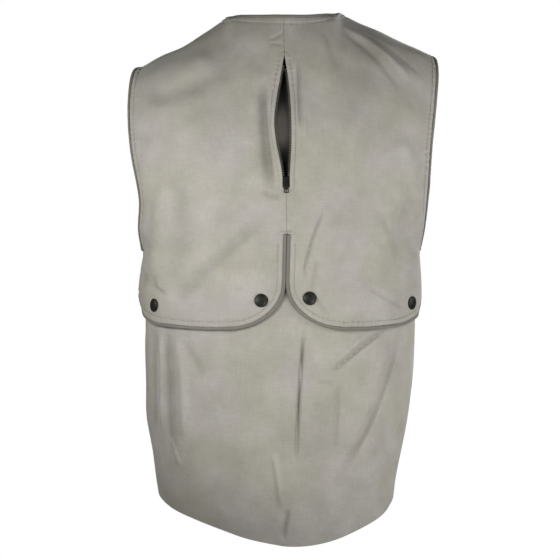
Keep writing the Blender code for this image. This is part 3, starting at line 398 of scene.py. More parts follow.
class VestSizes(bpy.types.PropertyGroup):
    """Sizes of cloth, tapes, thread and fastenings."""

    cloth: length_property("Cloth", "Thickness of the twill with its turnings", 0.0014)
    lining: length_property("Lining", "Thickness of the lining", 0.0010)
    binding_width: length_property("Binding width", "How far a binding stands past its edge", 0.0040)
    binding_thickness: length_property("Binding thickness", "Thickness of a folded binding", 0.0034)
    piping_width: length_property("Piping width", "How far the flaps' piping stands out", 0.0036)
    piping_thickness: length_property("Piping thickness", "Thickness of the flaps' piping", 0.0030)
    tape_wall: length_property("Binding tape", "Thickness of the tape that is folded", 0.0007)
    stitch_pitch: length_property("Stitch pitch", "From one stitch to the next", 0.0030)
    stitch_length: length_property("Stitch length", "Thread that shows of one stitch", 0.0022)
    thread: length_property("Thread", "Thickness of the thread", 0.0006)
    tooth_pitch: length_property("Tooth pitch", "From one zip tooth to the next", 0.0031)
    stud_radius: length_property("Stud radius", "Radius of a press stud's cap", 0.0090)
    stud_height: length_property("Stud height", "Height of a press stud's cap", 0.0032)


class VestColours(bpy.types.PropertyGroup):
    """Colours of the finishes."""

    twill: colour_property("Twill", "Khaki-grey cotton", "#a5a296")
    # The binding's darkness is partly the tape's own tone and partly painted shade
    binding: colour_property("Binding", "Folded cotton tape", "#78756b")
    lining: colour_property("Lining", "Dark plain weave", "#4c4942")
    zip_tape: colour_property("Zip tape", "Near-black woven tape", "#232220")
    # The teeth's grey is partly their own tone and partly painted highlight, so that they show as light dots
    teeth: colour_property("Zip teeth", "Moulded dark grey teeth", "#64615a")
    enamel: colour_property("Enamel", "Near-black enamel on metal", "#14140f")
    thread: colour_property("Thread", "Sewing thread, tone in tone", "#8b887c")


def column(columns, rows, name):
    """One column of a table."""
    return np.array([row[columns.index(name)] for row in rows])


def cubic(t, start, leaving, end, arriving):
    """A cubic from start to end, at shares t of its way, with its directions at both ends."""
    first = (1 + 2 * t) * (1 - t) ** 2 * start + t * (1 - t) ** 2 * leaving
    return first + t * t * (3 - 2 * t) * end - t * t * (1 - t) * arriving


def smooth_curve(knots, values, at):
    """A smooth curve through (knots, values), read at the given places."""
    slopes = np.gradient(values, knots)
    at = np.clip(at, knots[0], knots[-1])
    cell = np.clip(np.searchsorted(knots, at, side="right") - 1, 0, len(knots) - 2)
    span = knots[cell + 1] - knots[cell]
    t = (at - knots[cell]) / span
    return cubic(t, values[cell], span * slopes[cell], values[cell + 1], span * slopes[cell + 1])


def table_curve(columns, rows, name, at):
    """A column of a table as a smooth curve over the table's first column."""
    return smooth_curve(column(columns, rows, columns[0]), column(columns, rows, name), at)


def matched(*values):
    """Numbers or arrays of them, all brought to one shape."""
    return np.broadcast_arrays(*(np.asarray(value, float) for value in values))


def ease(t):
    """0 before t is 0, 1 after it is 1, and a soft S between."""
    t = np.clip(t, 0, 1)
    return t * t * (3 - 2 * t)


def unit(vectors):
    """Vectors scaled to length 1."""
    return vectors / np.linalg.norm(vectors, axis=-1, keepdims=True)


def even_angles():
    """Polar angles, as shares of a right angle, that space points evenly along a typical ring."""
    angle = np.linspace(0, math.pi / 2, 400)
    rounded = (np.sin(angle) / TYPICAL_WIDTH) ** SQUARENESS + (np.cos(angle) / TYPICAL_DEPTH) ** SQUARENESS
    radius = rounded ** (-1 / SQUARENESS)
    step = np.hypot(np.diff(radius * np.sin(angle)), np.diff(radius * np.cos(angle)))
    length = np.concatenate([[0], np.cumsum(step)])
    knots = np.linspace(0, 1, 13)
    return knots, np.interp(knots, length / length[-1], angle) / (math.pi / 2), length[-1]


ANGLE_KNOTS, ANGLE_SHARES, HALF_RING = even_angles()
SEAM_EDGE = 1 - SEAM_GAP / 2 / HALF_RING


def ring_place(share, edge_x, edge_y, depth):
    """x and distance from the side plane, on a ring cut off at its edge."""
    wide = edge_x / (1 - (edge_y / depth) ** SQUARENESS) ** (1 / SQUARENESS)
    angle = np.arctan2(edge_x, edge_y) * smooth_curve(ANGLE_KNOTS, ANGLE_SHARES, np.abs(share))
    rounded = np.abs(np.sin(angle) / wide) ** SQUARENESS + np.abs(np.cos(angle) / depth) ** SQUARENESS
    radius = rounded ** (-1 / SQUARENESS)
    return np.sign(share) * radius * np.sin(angle), radius * np.cos(angle)


def bulge(row, share):
    """A soft bulge across the back."""
    place = dict(zip(BULGE_COLUMNS, row, strict=True))
    return place["size"] * np.exp(-(((share - place["share"]) / place["spread"]) ** 2))


def ring_form(half, share, level):
    """A point of the form from the hem to the blades."""
    away = -1 if half == "back" else 1
    knots = np.arange(len(RINGS), dtype=float)
    low = np.clip(level, 0, UNDERARM)
    ring = {name: smooth_curve(knots, column(RING_COLUMNS, RINGS, name), low) for name in RING_COLUMNS}
    rise = np.clip(level - UNDERARM, 0, 1)
    turn = rise * math.pi / 2
    lowest = RINGS[-1][RING_COLUMNS.index("z_side")]
    edge_z = np.where(turn > 0, BLADE_Z - (BLADE_Z - lowest) * np.cos(turn), ring["z_side"])
    edge = {}
    for side in SIDES:
        cut = table_curve(ARMHOLE_COLUMNS, ARMHOLE, f"{half}_{side}", edge_z)
        edge[side] = np.where(turn > 0, cut, ring[side])
    depth = ring[half] + (BLADE_DEPTH[half] - ring[half]) * rise
    centre_z = ring["z_" + half] + (BLADE_Z - ring["z_" + half]) * rise
    edge_x = np.where(share < 0, edge["left"], edge["right"])
    x, y = ring_place(share, edge_x, ARMHOLE_REACH[half] * np.sin(turn), depth)
    z = centre_z + (edge_z - centre_z) * np.abs(share) ** SIDE_RISE
    if half == "back":
        for row in HEM_DIPS:
            z = z - bulge(row, share) * ease(1 - level / HEM_DIP_LEVELS)
        under = np.clip(1 - level / HEM_CURL_LEVELS, 0, 1) ** 2 * ease((1 - np.abs(share)) / HEM_CURL_SIDE)
        y = y - bulge(HEM_CURL, share) * under
    return np.stack([x, away * y, z], -1)


def top_edge(half, share):
    """The neckline and shoulder seam, and the way the cloth runs where it reaches them."""
    away = -1 if half == "back" else 1
    across = np.abs(share)
    along = np.clip((across - NECK_SHARE) / (1 - NECK_SHARE), 0, 1)
    seam = {name: table_curve(SHOULDER_COLUMNS, SHOULDER, name, along) for name in SHOULDER_COLUMNS}
    x = np.where(share < 0, seam["x_left"], seam["x_right"])
    z = np.where(share < 0, seam["z_left"], seam["z_right"])
    neck_y, neck_z = NECK_BACK if half == "back" else NECK_FRONT
    round_neck = np.clip(across / NECK_SHARE, 0, 1)
    turn = round_neck * math.pi / 2
    y = away * abs(neck_y) * np.cos(turn)
    z = neck_z + (z - neck_z) * (1 - np.cos(turn))
    lean = math.radians(NECK_LEAN) + math.radians(90 - NECK_LEAN) * ease(round_neck)
    places = column(PULL_COLUMNS, TOP_PULL, "share")
    pull = np.interp(across, places, column(PULL_COLUMNS, TOP_PULL, "pull"))
    drop = np.where(share < 0, SHOULDER_END_DROP["left"], -SHOULDER_END_DROP["right"])
    drop = drop * ease((across - DROP_FROM) / (1 - DROP_FROM))
    heading = np.stack([drop, -away * pull * np.sin(lean), pull * np.cos(lean)], -1)
    return np.stack([np.sign(share) * x * np.sin(turn), y, z], -1), heading


def form(half, share, level):
    """A point of the outside of the vest."""
    share, level = matched(share, level)
    share = np.where(share == 0, 1e-9, share)
    point = ring_form(half, share, np.minimum(level, BLADE))
    climb = ring_form(half, share, np.full(share.shape, float(BLADE)))
    climb = unit(climb - ring_form(half, share, np.full(share.shape, BLADE - 0.05))) * BLADE_TO_TOP
    end, heading = top_edge(half, share)
    return cubic(np.clip(level - BLADE, 0, 1)[..., None], point, climb, end, heading)


def outward(half, share, level):
    """Unit normal of the form, read a little inside its edges."""
    step = 0.008
    share, level = matched(share, level)
    share = np.clip(share, step - 1, 1 - step)
    level = np.where(level > UNDERARM, np.maximum(level, UNDERARM + 5 * step), level)
    level = np.clip(level, step, TOP - step)
    across = form(half, share + step, level) - form(half, share - step, level)
    up = form(half, share, level + step) - form(half, share, level - step)
    return unit(np.cross(across, up) * (1 if half == "back" else -1))


def level_of(half, share, z):
    """The level at which the form reaches a height, by halving."""
    share, z = matched(share, z)
    low, high = np.zeros(share.shape), np.full(share.shape, float(TOP))
    for _ in range(24):
        middle = (low + high) / 2
        above = form(half, share, middle)[..., 2] > z
        high = np.where(above, middle, high)
        low = np.where(above, low, middle)
    return (low + high) / 2


def share_at(half, level, x):
    """Share across of a small distance from the centre line."""
    probe = np.where(np.asarray(x) < 0, -0.01, 0.01)
    return x * probe / form(half, probe, level)[..., 0]


def fold_lift(folds, x, z):
    """How far the folds push the cloth out."""
    lift = np.zeros(np.shape(x))
    for row in folds:
        fold = dict(zip(FOLD_COLUMNS, row, strict=True))
        right, up = fold["x1"] - fold["x0"], fold["z1"] - fold["z0"]
        length = math.hypot(right, up)
        along = ((x - fold["x0"]) * right + (z - fold["z0"]) * up) / length**2
        aside = ((x - fold["x0"]) * up - (z - fold["z0"]) * right) / length
        aside = aside - fold["bow"] * 4 * along * (1 - along)
        width = fold["width"] * (1 + fold["skew"] * np.sign(aside))
        ends = ease(along / FOLD_END) * ease((1 - along) / FOLD_END)
        lift += fold["height"] * np.exp(-((aside / width) ** 2)) * ends
    return lift


def trough(folds, points):
    """How far the folds push the cloth in, which what lies behind it follows."""
    return np.minimum(fold_lift(folds, points[..., 0], points[..., 2]), 0)


def waves(points):
    """Soft unevenness of hanging cloth, in metres out of its face."""
    random = np.random.default_rng(WAVE_SEED)
    lift = np.zeros(points.shape[:-1])
    for _ in range(WAVE_COUNT):
        heading = unit(random.normal(size=3) * (1, 1, 0.45))
        length = random.uniform(*WAVE_LENGTHS)
        lift += np.sin(points @ heading * 2 * math.pi / length + random.uniform(0, 2 * math.pi))
    return lift * WAVE_HEIGHT


def seam_x(z):
    """x of the centre back seam at a height."""
    share = np.clip((NECK_BACK[1] - z) / (NECK_BACK[1] - SLIT_Z), 0, 1)
    return SEAM_LEAN[0] + (SEAM_LEAN[1] - SEAM_LEAN[0]) * share


def mouth_width(side, z):
    """How far the back zip's mouth opens from the seam on one side."""
    heights = column(MOUTH_COLUMNS, MOUTH, "z")[::-1]
    widths = column(MOUTH_COLUMNS, MOUTH, side)[::-1]
    bent = np.maximum(smooth_curve(heights[MOUTH_FOOT:], widths[MOUTH_FOOT:], z), 0)
    straight = np.interp(z, heights, widths)
    return np.where(z < heights[MOUTH_FOOT], straight, np.where(z > heights[-1], 0, bent))


SLIT_LEVEL = float(level_of("back", 0.0, SLIT_Z))


def flap_top(share):
    """Level of the line from the top of the slit to the underarms."""
    return UNDERARM + (SLIT_LEVEL - UNDERARM) * (1 - np.abs(share) ** 2)


def flap_bottom(share):
    """Height of the flaps' bottom edge."""
    return FLAP_Z + FLAP_OUTER_RISE * ease((np.abs(share) - FLAP_RISE_FROM) / FLAP_RISE_OVER)


def flap_level(share, height):
    """Level at a share of the flap's height."""
    top = form("back", share, flap_top(share))[..., 2]
    return level_of("back", share, flap_bottom(share) + (top - flap_bottom(share)) * height)


def flap_lift(share, height):
    """How far a flap stands off the pouch: it bellies out above the studs, most of all towards the side."""
    lifts = (table_curve(FLAP_LIFT_COLUMNS, FLAP_LIFT, name, height) for name in FLAP_LIFT_COLUMNS[1:])
    middle, side, seam = lifts
    lift = middle + (side - middle) * ease((np.abs(share) - FLAP_BELLY_FROM) / FLAP_BELLY_OVER)
    return seam + (lift - seam) * ease((1 - np.abs(share)) / FLAP_SEAM_OVER)


def flap_limits(side, height):
    """How far a flap's inner corner is cut away, and its outer share, at a share of its height."""
    width, tall = FLAP_CORNERS[side]
    rest = np.clip(1 - height / tall, 0, 1)
    inner = width * (1 - np.sqrt(1 - rest**2))
    bottom_end, tall = FLAP_OUTER_CORNERS[side]
    rest = np.clip(1 - height / tall, 0, 1)
    outer = bottom_end + (FLAP_SIDE - bottom_end) * np.sqrt(1 - rest**2)
    return inner, np.where(height > FLAP_FREE, SEAM_EDGE, outer)


def even_steps(start, end, step):
    """Places from start to end, a step or a little more apart."""
    return np.linspace(start, end, max(int(abs(end - start) / step), 2) + 1)


def cape_columns():
    """Shares of a cape's width, with one at the neck corner."""
    inner = even_steps(0, NECK_SHARE, GRID_STEP / HALF_RING)
    return np.concatenate([inner, even_steps(NECK_SHARE, 1, GRID_STEP / HALF_RING)[1:]])


def flap_rows():
    """Shares of the flap's height, closer together where its corners are round."""
    corner = FLAP_CORNERS["right"][1]
    turn = np.linspace(0, math.pi / 2, FLAP_CORNER_ROWS)
    above = FLAP_FREE + 0.02
    upper = even_steps(above + FLAP_ROW, 0.99, FLAP_ROW)
    return np.concatenate([corner * (1 - np.cos(turn)), (FLAP_FREE, above), upper])


def cape_grid(side):
    """Shares, levels and offsets of one cape, from the flap's edge to the neck and shoulder."""
    sign = SIDES[side]
    u = cape_columns()
    height = flap_rows()[:, None]
    corner, outer = flap_limits(side, height)
    slit_x = seam_x(SLIT_Z) + sign * SLIT_HALF
    centre_level = level_of("back", 0.0, FLAP_Z + (SLIT_Z - FLAP_Z) * height)
    inner = share_at("back", centre_level, slit_x - SLIT_SWING * (1 - height)) + sign * corner
    share = inner + (sign * outer - inner) * u
    flap = (share, flap_level(share, height), flap_lift(share, height))
    closed = even_steps(SLIT_Z, MOUTH_LOW_Z - 0.001, GRID_STEP)
    z = np.concatenate([closed, even_steps(MOUTH_LOW_Z, NECK_BACK[1], GRID_STEP)])[:, None]
    level = level_of("back", 0.0, z)
    inner = share_at("back", level, seam_x(z) + sign * (mouth_width(side, z) + SEAM_GAP / 2))
    share = inner + (sign * SEAM_EDGE - inner) * u
    climb = (level - SLIT_LEVEL) / (TOP - SLIT_LEVEL)
    climb[-1] = 1.0
    share[-1, np.argmin(np.abs(u - NECK_SHARE))] = sign * NECK_SHARE
    body = (share, flap_top(share) + (TOP - flap_top(share)) * climb, np.zeros(share.shape))
    return [np.concatenate(pair) for pair in zip(flap, body, strict=True)]


def lengths(path):
    """Distance along a path to each of its points."""
    return np.concatenate([[0], np.cumsum(np.linalg.norm(np.diff(path, axis=0), axis=1))])


def read_path(at, run, values):
    """What goes with a path's points, at distances along it. Its points are at the distances run."""
    return np.stack([np.interp(at, run, values[:, k]) for k in range(values.shape[1])], -1)


def resample(path, step, *others):
    """A path and what goes with its points, at even steps."""
    run = lengths(path)
    at = np.linspace(0, run[-1], max(int(round(run[-1] / step)), 2) + 1)
    return [read_path(at, run, values) for values in (path, *others)]


def square_to(way, vectors):
    """The part of each vector that stands square to a direction."""
    return vectors - way * np.sum(vectors * way, -1, keepdims=True)


def beside(points, path):
    """Distance of each point from a path, and how far along the path that is."""
    (fine,) = resample(path, 0.0008)
    tree = KDTree(len(fine))
    for number, place in enumerate(fine):
        tree.insert(place, number)
    tree.balance()
    found = [tree.find(p)[1:] for p in points.reshape(-1, 3)]
    run = lengths(fine)
    away = np.array([row[1] for row in found]).reshape(points.shape[:-1])
    along = np.array([run[row[0]] for row in found]).reshape(points.shape[:-1])
    return away, along


def sewing_lift(points, rows):
    """What rows of stitching do to the cloth. Each row is a cut edge, its distance from it and its pull."""
    lift = np.zeros(points.shape[:-1])
    for path, inset, pull in rows:
        away, along = beside(points, path)
        line = np.exp(-(((away - inset) / STITCH_GROOVE) ** 2))
        band = ease((inset - away) / BAND_SLOPE)
        # Puckers come at an uneven pitch and strength along the row
        phase = 2 * math.pi * along / PUCKER_PITCH + 1.7 * np.sin(along * 61) + 1.1 * np.sin(along * 143 + 1)
        strength = 0.65 + 0.35 * np.sin(along * 37 + 2)
        reach = np.exp(-(((away - inset * 0.85) / (inset * 0.75)) ** 2))
        lift += BAND_RISE * band - STITCH_SINK * line + PUCKER * pull * strength * np.sin(phase) * reach
    return lift


def soften(points, level):
    """Evens out the cloth across, from the blades up to just below the neckline and shoulder seams."""
    number = np.arange(points.shape[1])
    weight = ease((level - SOFT_FROM) / SOFT_IN) * ease((SOFT_TO - level) / SOFT_OUT)
    weight = weight * ease(np.minimum(number, number[::-1]) / SOFT_COLUMNS)
    for _ in range(SOFTENING):
        middle = (points[:, :-2] + points[:, 2:]) / 2
        points[:, 1:-1] += (middle - points[:, 1:-1]) * weight[:, 1:-1, None]
    return points


def settled_corners(points):
    """The neck corners sink a little under the turn of the binding."""
    for side, sign in SIDES.items():
        x, z = (column(SHOULDER_COLUMNS, SHOULDER, f"{axis}_{side}")[0] for axis in "xz")
        away = np.linalg.norm(points - (sign * x, 0, z), axis=-1)
        points[..., 2] -= NECK_CORNER_DROP * np.exp(-((away / NECK_CORNER_REACH) ** 2))
    return points


@functools.cache
def cape(side):
    """Points and normals of one cape, and the places of its edges in them."""
    share, level, offset = cape_grid(side)
    base, normal = soften(form("back", share, level), level), outward("back", share, level)
    low = len(flap_rows())
    free = int(np.argmin(np.abs(flap_rows() - FLAP_FREE)))
    u = cape_columns()
    neck = int(np.argmin(np.abs(u - NECK_SHARE)))
    z = base[:, 0, 2]
    zip_rows = np.nonzero((z > MOUTH_LOW_Z) & (z < MOUTH_TOP_Z) & (np.arange(len(z)) >= low))[0]
    flap_edge = np.concatenate([base[low:0:-1, 0], base[0], base[1 : free + 1, -1]])
    rows = [
        (flap_edge, FLAP_STITCH, CAPE_PULL["flap"]),
        (base[low:, -1], ARMHOLE_STITCH, CAPE_PULL["armhole"]),
        (base[-1, : neck + 1], NECK_STITCH, CAPE_PULL["neck"]),
        (base[zip_rows, 0], ZIP_STITCH, CAPE_PULL["zip"]),
    ]
    sewn = sewing_lift(base, rows)
    settled = ease(np.minimum(np.abs(share), 1 - np.abs(share)) / WAVE_FADE["cape"])
    lift = offset + fold_lift(CAPE_FOLDS, base[..., 0], base[..., 2]) + sewn + waves(base) * settled
    points = base + normal * lift[..., None]
    points[-1, neck:, 1] -= SEAM_GAP / 2
    return settled_corners(points), normal, {"low": low, "free": free, "neck": neck, "zip": zip_rows}


@functools.cache
def pouch():
    """Points and normals of the lower back panel. Behind the flaps it follows the capes' troughs."""
    share = even_steps(-SEAM_EDGE, SEAM_EDGE, POUCH_STEP / HALF_RING)
    top = level_of("back", share, POUCH_TOP_Z + (POUCH_SIDE_Z - POUCH_TOP_Z) * np.abs(share) ** 3)
    level = even_steps(0, 1, POUCH_STEP / POUCH_HEIGHT)[:, None] * top
    share = np.broadcast_to(share, level.shape)
    base, normal = form("back", share, level), outward("back", share, level)
    free = ease((POUCH_FREE_Z - base[..., 2]) / POUCH_FREE_OVER)
    lift = fold_lift(POUCH_FOLDS, base[..., 0], base[..., 2]) * free + trough(CAPE_FOLDS, base) * (1 - free)
    lift = lift + waves(base) * ease((1 - np.abs(share)) / WAVE_FADE["pouch"]) * free
    return base + normal * lift[..., None], normal


@functools.cache
def lining_panel(levels, first, last):
    """Points and normals of one panel of the lining, which follows the troughs of the cloth over it."""
    seam = SEAM_GAP / 2 / HALF_RING
    share = even_steps(first + seam, last - seam, LINING_STEP / HALF_RING) * LINING_REACH
    low, high = LINING_LEVELS[levels]
    level = even_steps(low, min(high, UNDERARM), LINING_ROWS["below"])
    if high > UNDERARM:
        level = np.concatenate([level, even_steps(UNDERARM, high, LINING_ROWS["above"])[1:]])
    level = level[:, None]
    within = ease((1 - np.abs(share)) / LINING_SINK["side"]) * ease(level / LINING_SINK["foot"])
    within = within * ease((TOP - level) / LINING_SINK["top"])
    sewn, loose = LINING_EDGE_DEPTH["below"], LINING_EDGE_DEPTH["armhole"]
    edge = sewn + (loose - sewn) * ease(level - UNDERARM + 2)
    offset = -edge - (LINING_DEPTH - edge) * within
    base, normal = form("back", share, level), outward("back", share, level)
    lift = offset + fold_lift(LINING_FOLDS, base[..., 0], base[..., 2])
    lift = lift + np.minimum(trough(CAPE_FOLDS, base), trough(POUCH_FOLDS, base))
    return base + normal * lift[..., None], normal


@functools.cache
def front(side):
    """Points and normals of one front, and its rows at the underarm and the blade."""
    sign = SIDES[side]
    u = even_steps(0, 1, FRONT_STEP / HALF_RING)
    below = even_steps(0, UNDERARM, FRONT_STEP / FRONT_LEVELS["below"])
    arm = even_steps(UNDERARM, BLADE, FRONT_STEP / FRONT_LEVELS["arm"])[1:]
    above = even_steps(BLADE, TOP, FRONT_STEP / FRONT_LEVELS["above"])[1:]
    level = np.concatenate([below, arm, above])[:, None]
    inner = share_at("front", np.minimum(level, BLADE), FRONT_GAP)
    inner = inner + (NECK_SHARE - inner) * np.clip(level - BLADE, 0, 1)
    share = sign * (inner + (SEAM_EDGE - inner) * u)
    level = np.broadcast_to(level, share.shape)
    base, normal = soften(form("front", share, level), level), outward("front", share, level)
    low, blade = len(below) - 1, len(below) + len(arm) - 1
    rows = [
        (base[low:, -1], ARMHOLE_STITCH, FRONT_PULL["armhole"]),
        (base[blade:, 0], NECK_STITCH, FRONT_PULL["neck"]),
        (base[: blade + 1, 0], FRONT_ZIP_STITCH, FRONT_PULL["zip"]),
    ]
    sewn = sewing_lift(base, rows)
    settled = ease((1 - np.abs(share)) / WAVE_FADE["front"])
    settled = settled * ease((np.abs(share) - np.abs(inner)) / WAVE_FADE["front_zip"])
    lift = fold_lift(FRONT_FOLDS, base[..., 0], base[..., 2]) + sewn + waves(base) * settled * FRONT_WAVES
    points = base + normal * lift[..., None]
    points[-1, :, 1] += SEAM_GAP / 2
    return settled_corners(points), normal, {"low": low, "blade": blade}


def grid_faces(rows, columns, start=0):
    """Quads of a grid, counter-clockwise as rows go up and columns go right."""
    corner = start + (np.arange(rows - 1)[:, None] * columns + np.arange(columns - 1)).reshape(-1)
    return np.stack([corner, corner + 1, corner + columns + 1, corner + columns], -1)


def add_object(name, points, faces, material):
    """A mesh object at the origin, with its faces turned outwards."""
    mesh = bpy.data.meshes.new(name)
    mesh.from_pydata(points.tolist(), [], [tuple(face) for face in faces])
    work = bmesh.new()
    work.from_mesh(mesh)
    bmesh.ops.recalc_face_normals(work, faces=work.faces)
    work.to_mesh(mesh)
    work.free()
    mesh.materials.append(material)
    mesh.shade_smooth()
    obj = bpy.data.objects.new(name, mesh)
    bpy.context.scene.collection.objects.link(obj)
    return obj


def set_cut_map(obj, places):
    """The piece's own flat coordinates, in metres, for weave that follows the cloth."""
    layer = obj.data.uv_layers.new(name="cut")
    index = np.zeros(len(obj.data.loops), dtype=np.int32)
    obj.data.loops.foreach_get("vertex_index", index)
    layer.data.foreach_set("uv", places[index].astype(np.float32).reshape(-1))


def set_crease_shade(obj, folds):
    """How deep in a fold's trough each point lies, from 0 to 1, for the painted shade that the finish puts
    there.
    """
    places = np.zeros(len(obj.data.vertices) * 3)
    obj.data.vertices.foreach_get("co", places)
    depth = np.clip(-trough(folds, places.reshape(-1, 3)) / CREASE_SHADE_DEPTH, 0, 1)
    layer = obj.data.attributes.new("crease", "FLOAT", "POINT")
    layer.data.foreach_set("value", depth.astype(np.float32))


def moved_rim(grid, reach):
    """The same grid with its border moved in, or out where the reach is negative."""
    moved = grid.copy()
    for border, within in BORDERS:
        step = grid[within] - grid[border]
        size = np.linalg.norm(step, axis=-1, keepdims=True)
        moved[border] = moved[border] + step / np.maximum(size, 1e-9) * np.minimum(reach, size * 0.4)
    return moved


def rounded_rim(grid):
    """Drawn in, so that a turned edge can be rounded."""
    return moved_rim(grid, EDGE_ROUND)


def met_rim(grid):
    """Drawn out, so that sewn edges touch."""
    return moved_rim(grid, -SEAM_GAP / 2)


def picked(count):
    """Every few places of a row, its ends among them, and the one of them that each place belongs to."""
    chosen = np.unique(np.append(np.arange(0, count, INNER_STEP), count - 1))
    return chosen, np.abs(np.arange(count)[:, None] - chosen).argmin(1)


def cloth_wall(name, points, normals, thickness, material, folds=()):
    """A closed wall of cloth with rounded turned edges and a coarser grid on its inner side."""
    rows, columns = points.shape[:2]
    count = rows * columns
    outer = rounded_rim(points).reshape(-1, 3)
    low, row_of = picked(rows)
    across, column_of = picked(columns)
    inner = rounded_rim(points - normals * thickness)[np.ix_(low, across)].reshape(-1, 3)
    edge = [(0, j) for j in range(columns)] + [(i, columns - 1) for i in range(1, rows)]
    edge += [(rows - 1, j) for j in range(columns - 2, -1, -1)] + [(i, 0) for i in range(rows - 2, 0, -1)]
    edge = np.array(edge)
    rim = edge[:, 0] * columns + edge[:, 1]
    behind = count + row_of[edge[:, 0]] * len(across) + column_of[edge[:, 1]]
    middle = met_rim(points - normals * thickness / 2).reshape(-1, 3)[rim]
    ring = count + len(inner) + np.arange(len(rim))
    after, ring_after, behind_after = np.roll(rim, -1), np.roll(ring, -1), np.roll(behind, -1)
    faces = np.concatenate([
        grid_faces(rows, columns),
        grid_faces(len(low), len(across), count)[:, ::-1],
        np.stack([after, rim, ring, ring_after], -1),
    ]).tolist()
    for a, b, c, d in zip(ring_after, ring, behind, behind_after, strict=True):
        faces.append((a, b, c, d) if c != d else (a, b, c))
    obj = add_object(name, np.concatenate([outer, inner, middle]), faces, material)
    right = np.stack([lengths(row) for row in points])
    right = right - right[:, :1] + points[:, :1, 0]
    upward = np.stack([lengths(points[:, j]) for j in range(0, columns, max(columns // 12, 1))], 1)
    flat = np.stack([right, np.broadcast_to(upward.mean(1)[:, None], right.shape)], -1)
    set_cut_map(obj, np.concatenate([
        flat.reshape(-1, 2), flat[np.ix_(low, across)].reshape(-1, 2), flat.reshape(-1, 2)[rim]
    ]))
    # Depth in the folds' troughs, which the finish turns into painted shade
    set_crease_shade(obj, folds)
    return obj


def swept(name, stack, material, closed):
    """A closed band through a stack of like cross-sections, mapped by its length and girth."""
    count, corners = stack.shape[:2]
    i = np.arange(count if closed else count - 1)[:, None]
    k = np.arange(corners)
    after, right = (i + 1) % count, (k + 1) % corners
    faces = np.stack([i * corners + k, i * corners + right, after * corners + right, after * corners + k], -1)
    faces = faces.reshape(-1, 4).tolist()
    if not closed:
        faces += [list(range(corners)), [(count - 1) * corners + c for c in range(corners)]]
    obj = add_object(name, stack.reshape(-1, 3), faces, material)
    run = lengths(stack[:, 0])
    girth = lengths(stack[0])
    set_cut_map(obj, np.stack(np.broadcast_arrays(girth, run[:, None]), -1).reshape(-1, 2))
    return obj


def dress(obj, node):
    """Puts a cloth piece in its node's place and hides the node's solid."""
    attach(obj, "vest")
    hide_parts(node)


def fit(obj, slot, *nodes, body="vest"):
    """Puts a hard piece or trim in its place on the vest."""
    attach(obj, body)
    if nodes:
        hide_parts(*nodes)


def add_node(tree, kind, values=None, links=None, **properties):
    """Adds a node with its settings, its values and the outputs that its inputs are linked from."""
    made = tree.nodes.new(kind)
    for name, value in properties.items():
        setattr(made, name, value)
    for key, value in (values or {}).items():
        made.inputs[key].default_value = value
    for key, source in (links or {}).items():
        tree.links.new(source, made.inputs[key])
    return made


def new_finish(name, **sockets):
    """A material with its constants on the shader's own sockets."""
    material = bpy.data.materials.new(name)
    material.use_nodes = True
    tree = material.node_tree
    shader = tree.nodes["Principled BSDF"]
    for key, value in sockets.items():
        shader.inputs[key.replace("_", " ")].default_value = value
    return material, tree, shader


def shifted(colour, factor):
    """A colour with its red, green and blue each multiplied."""
    return (*(min(c * f, 1.0) for c, f in zip(colour, factor, strict=True)), 1.0)


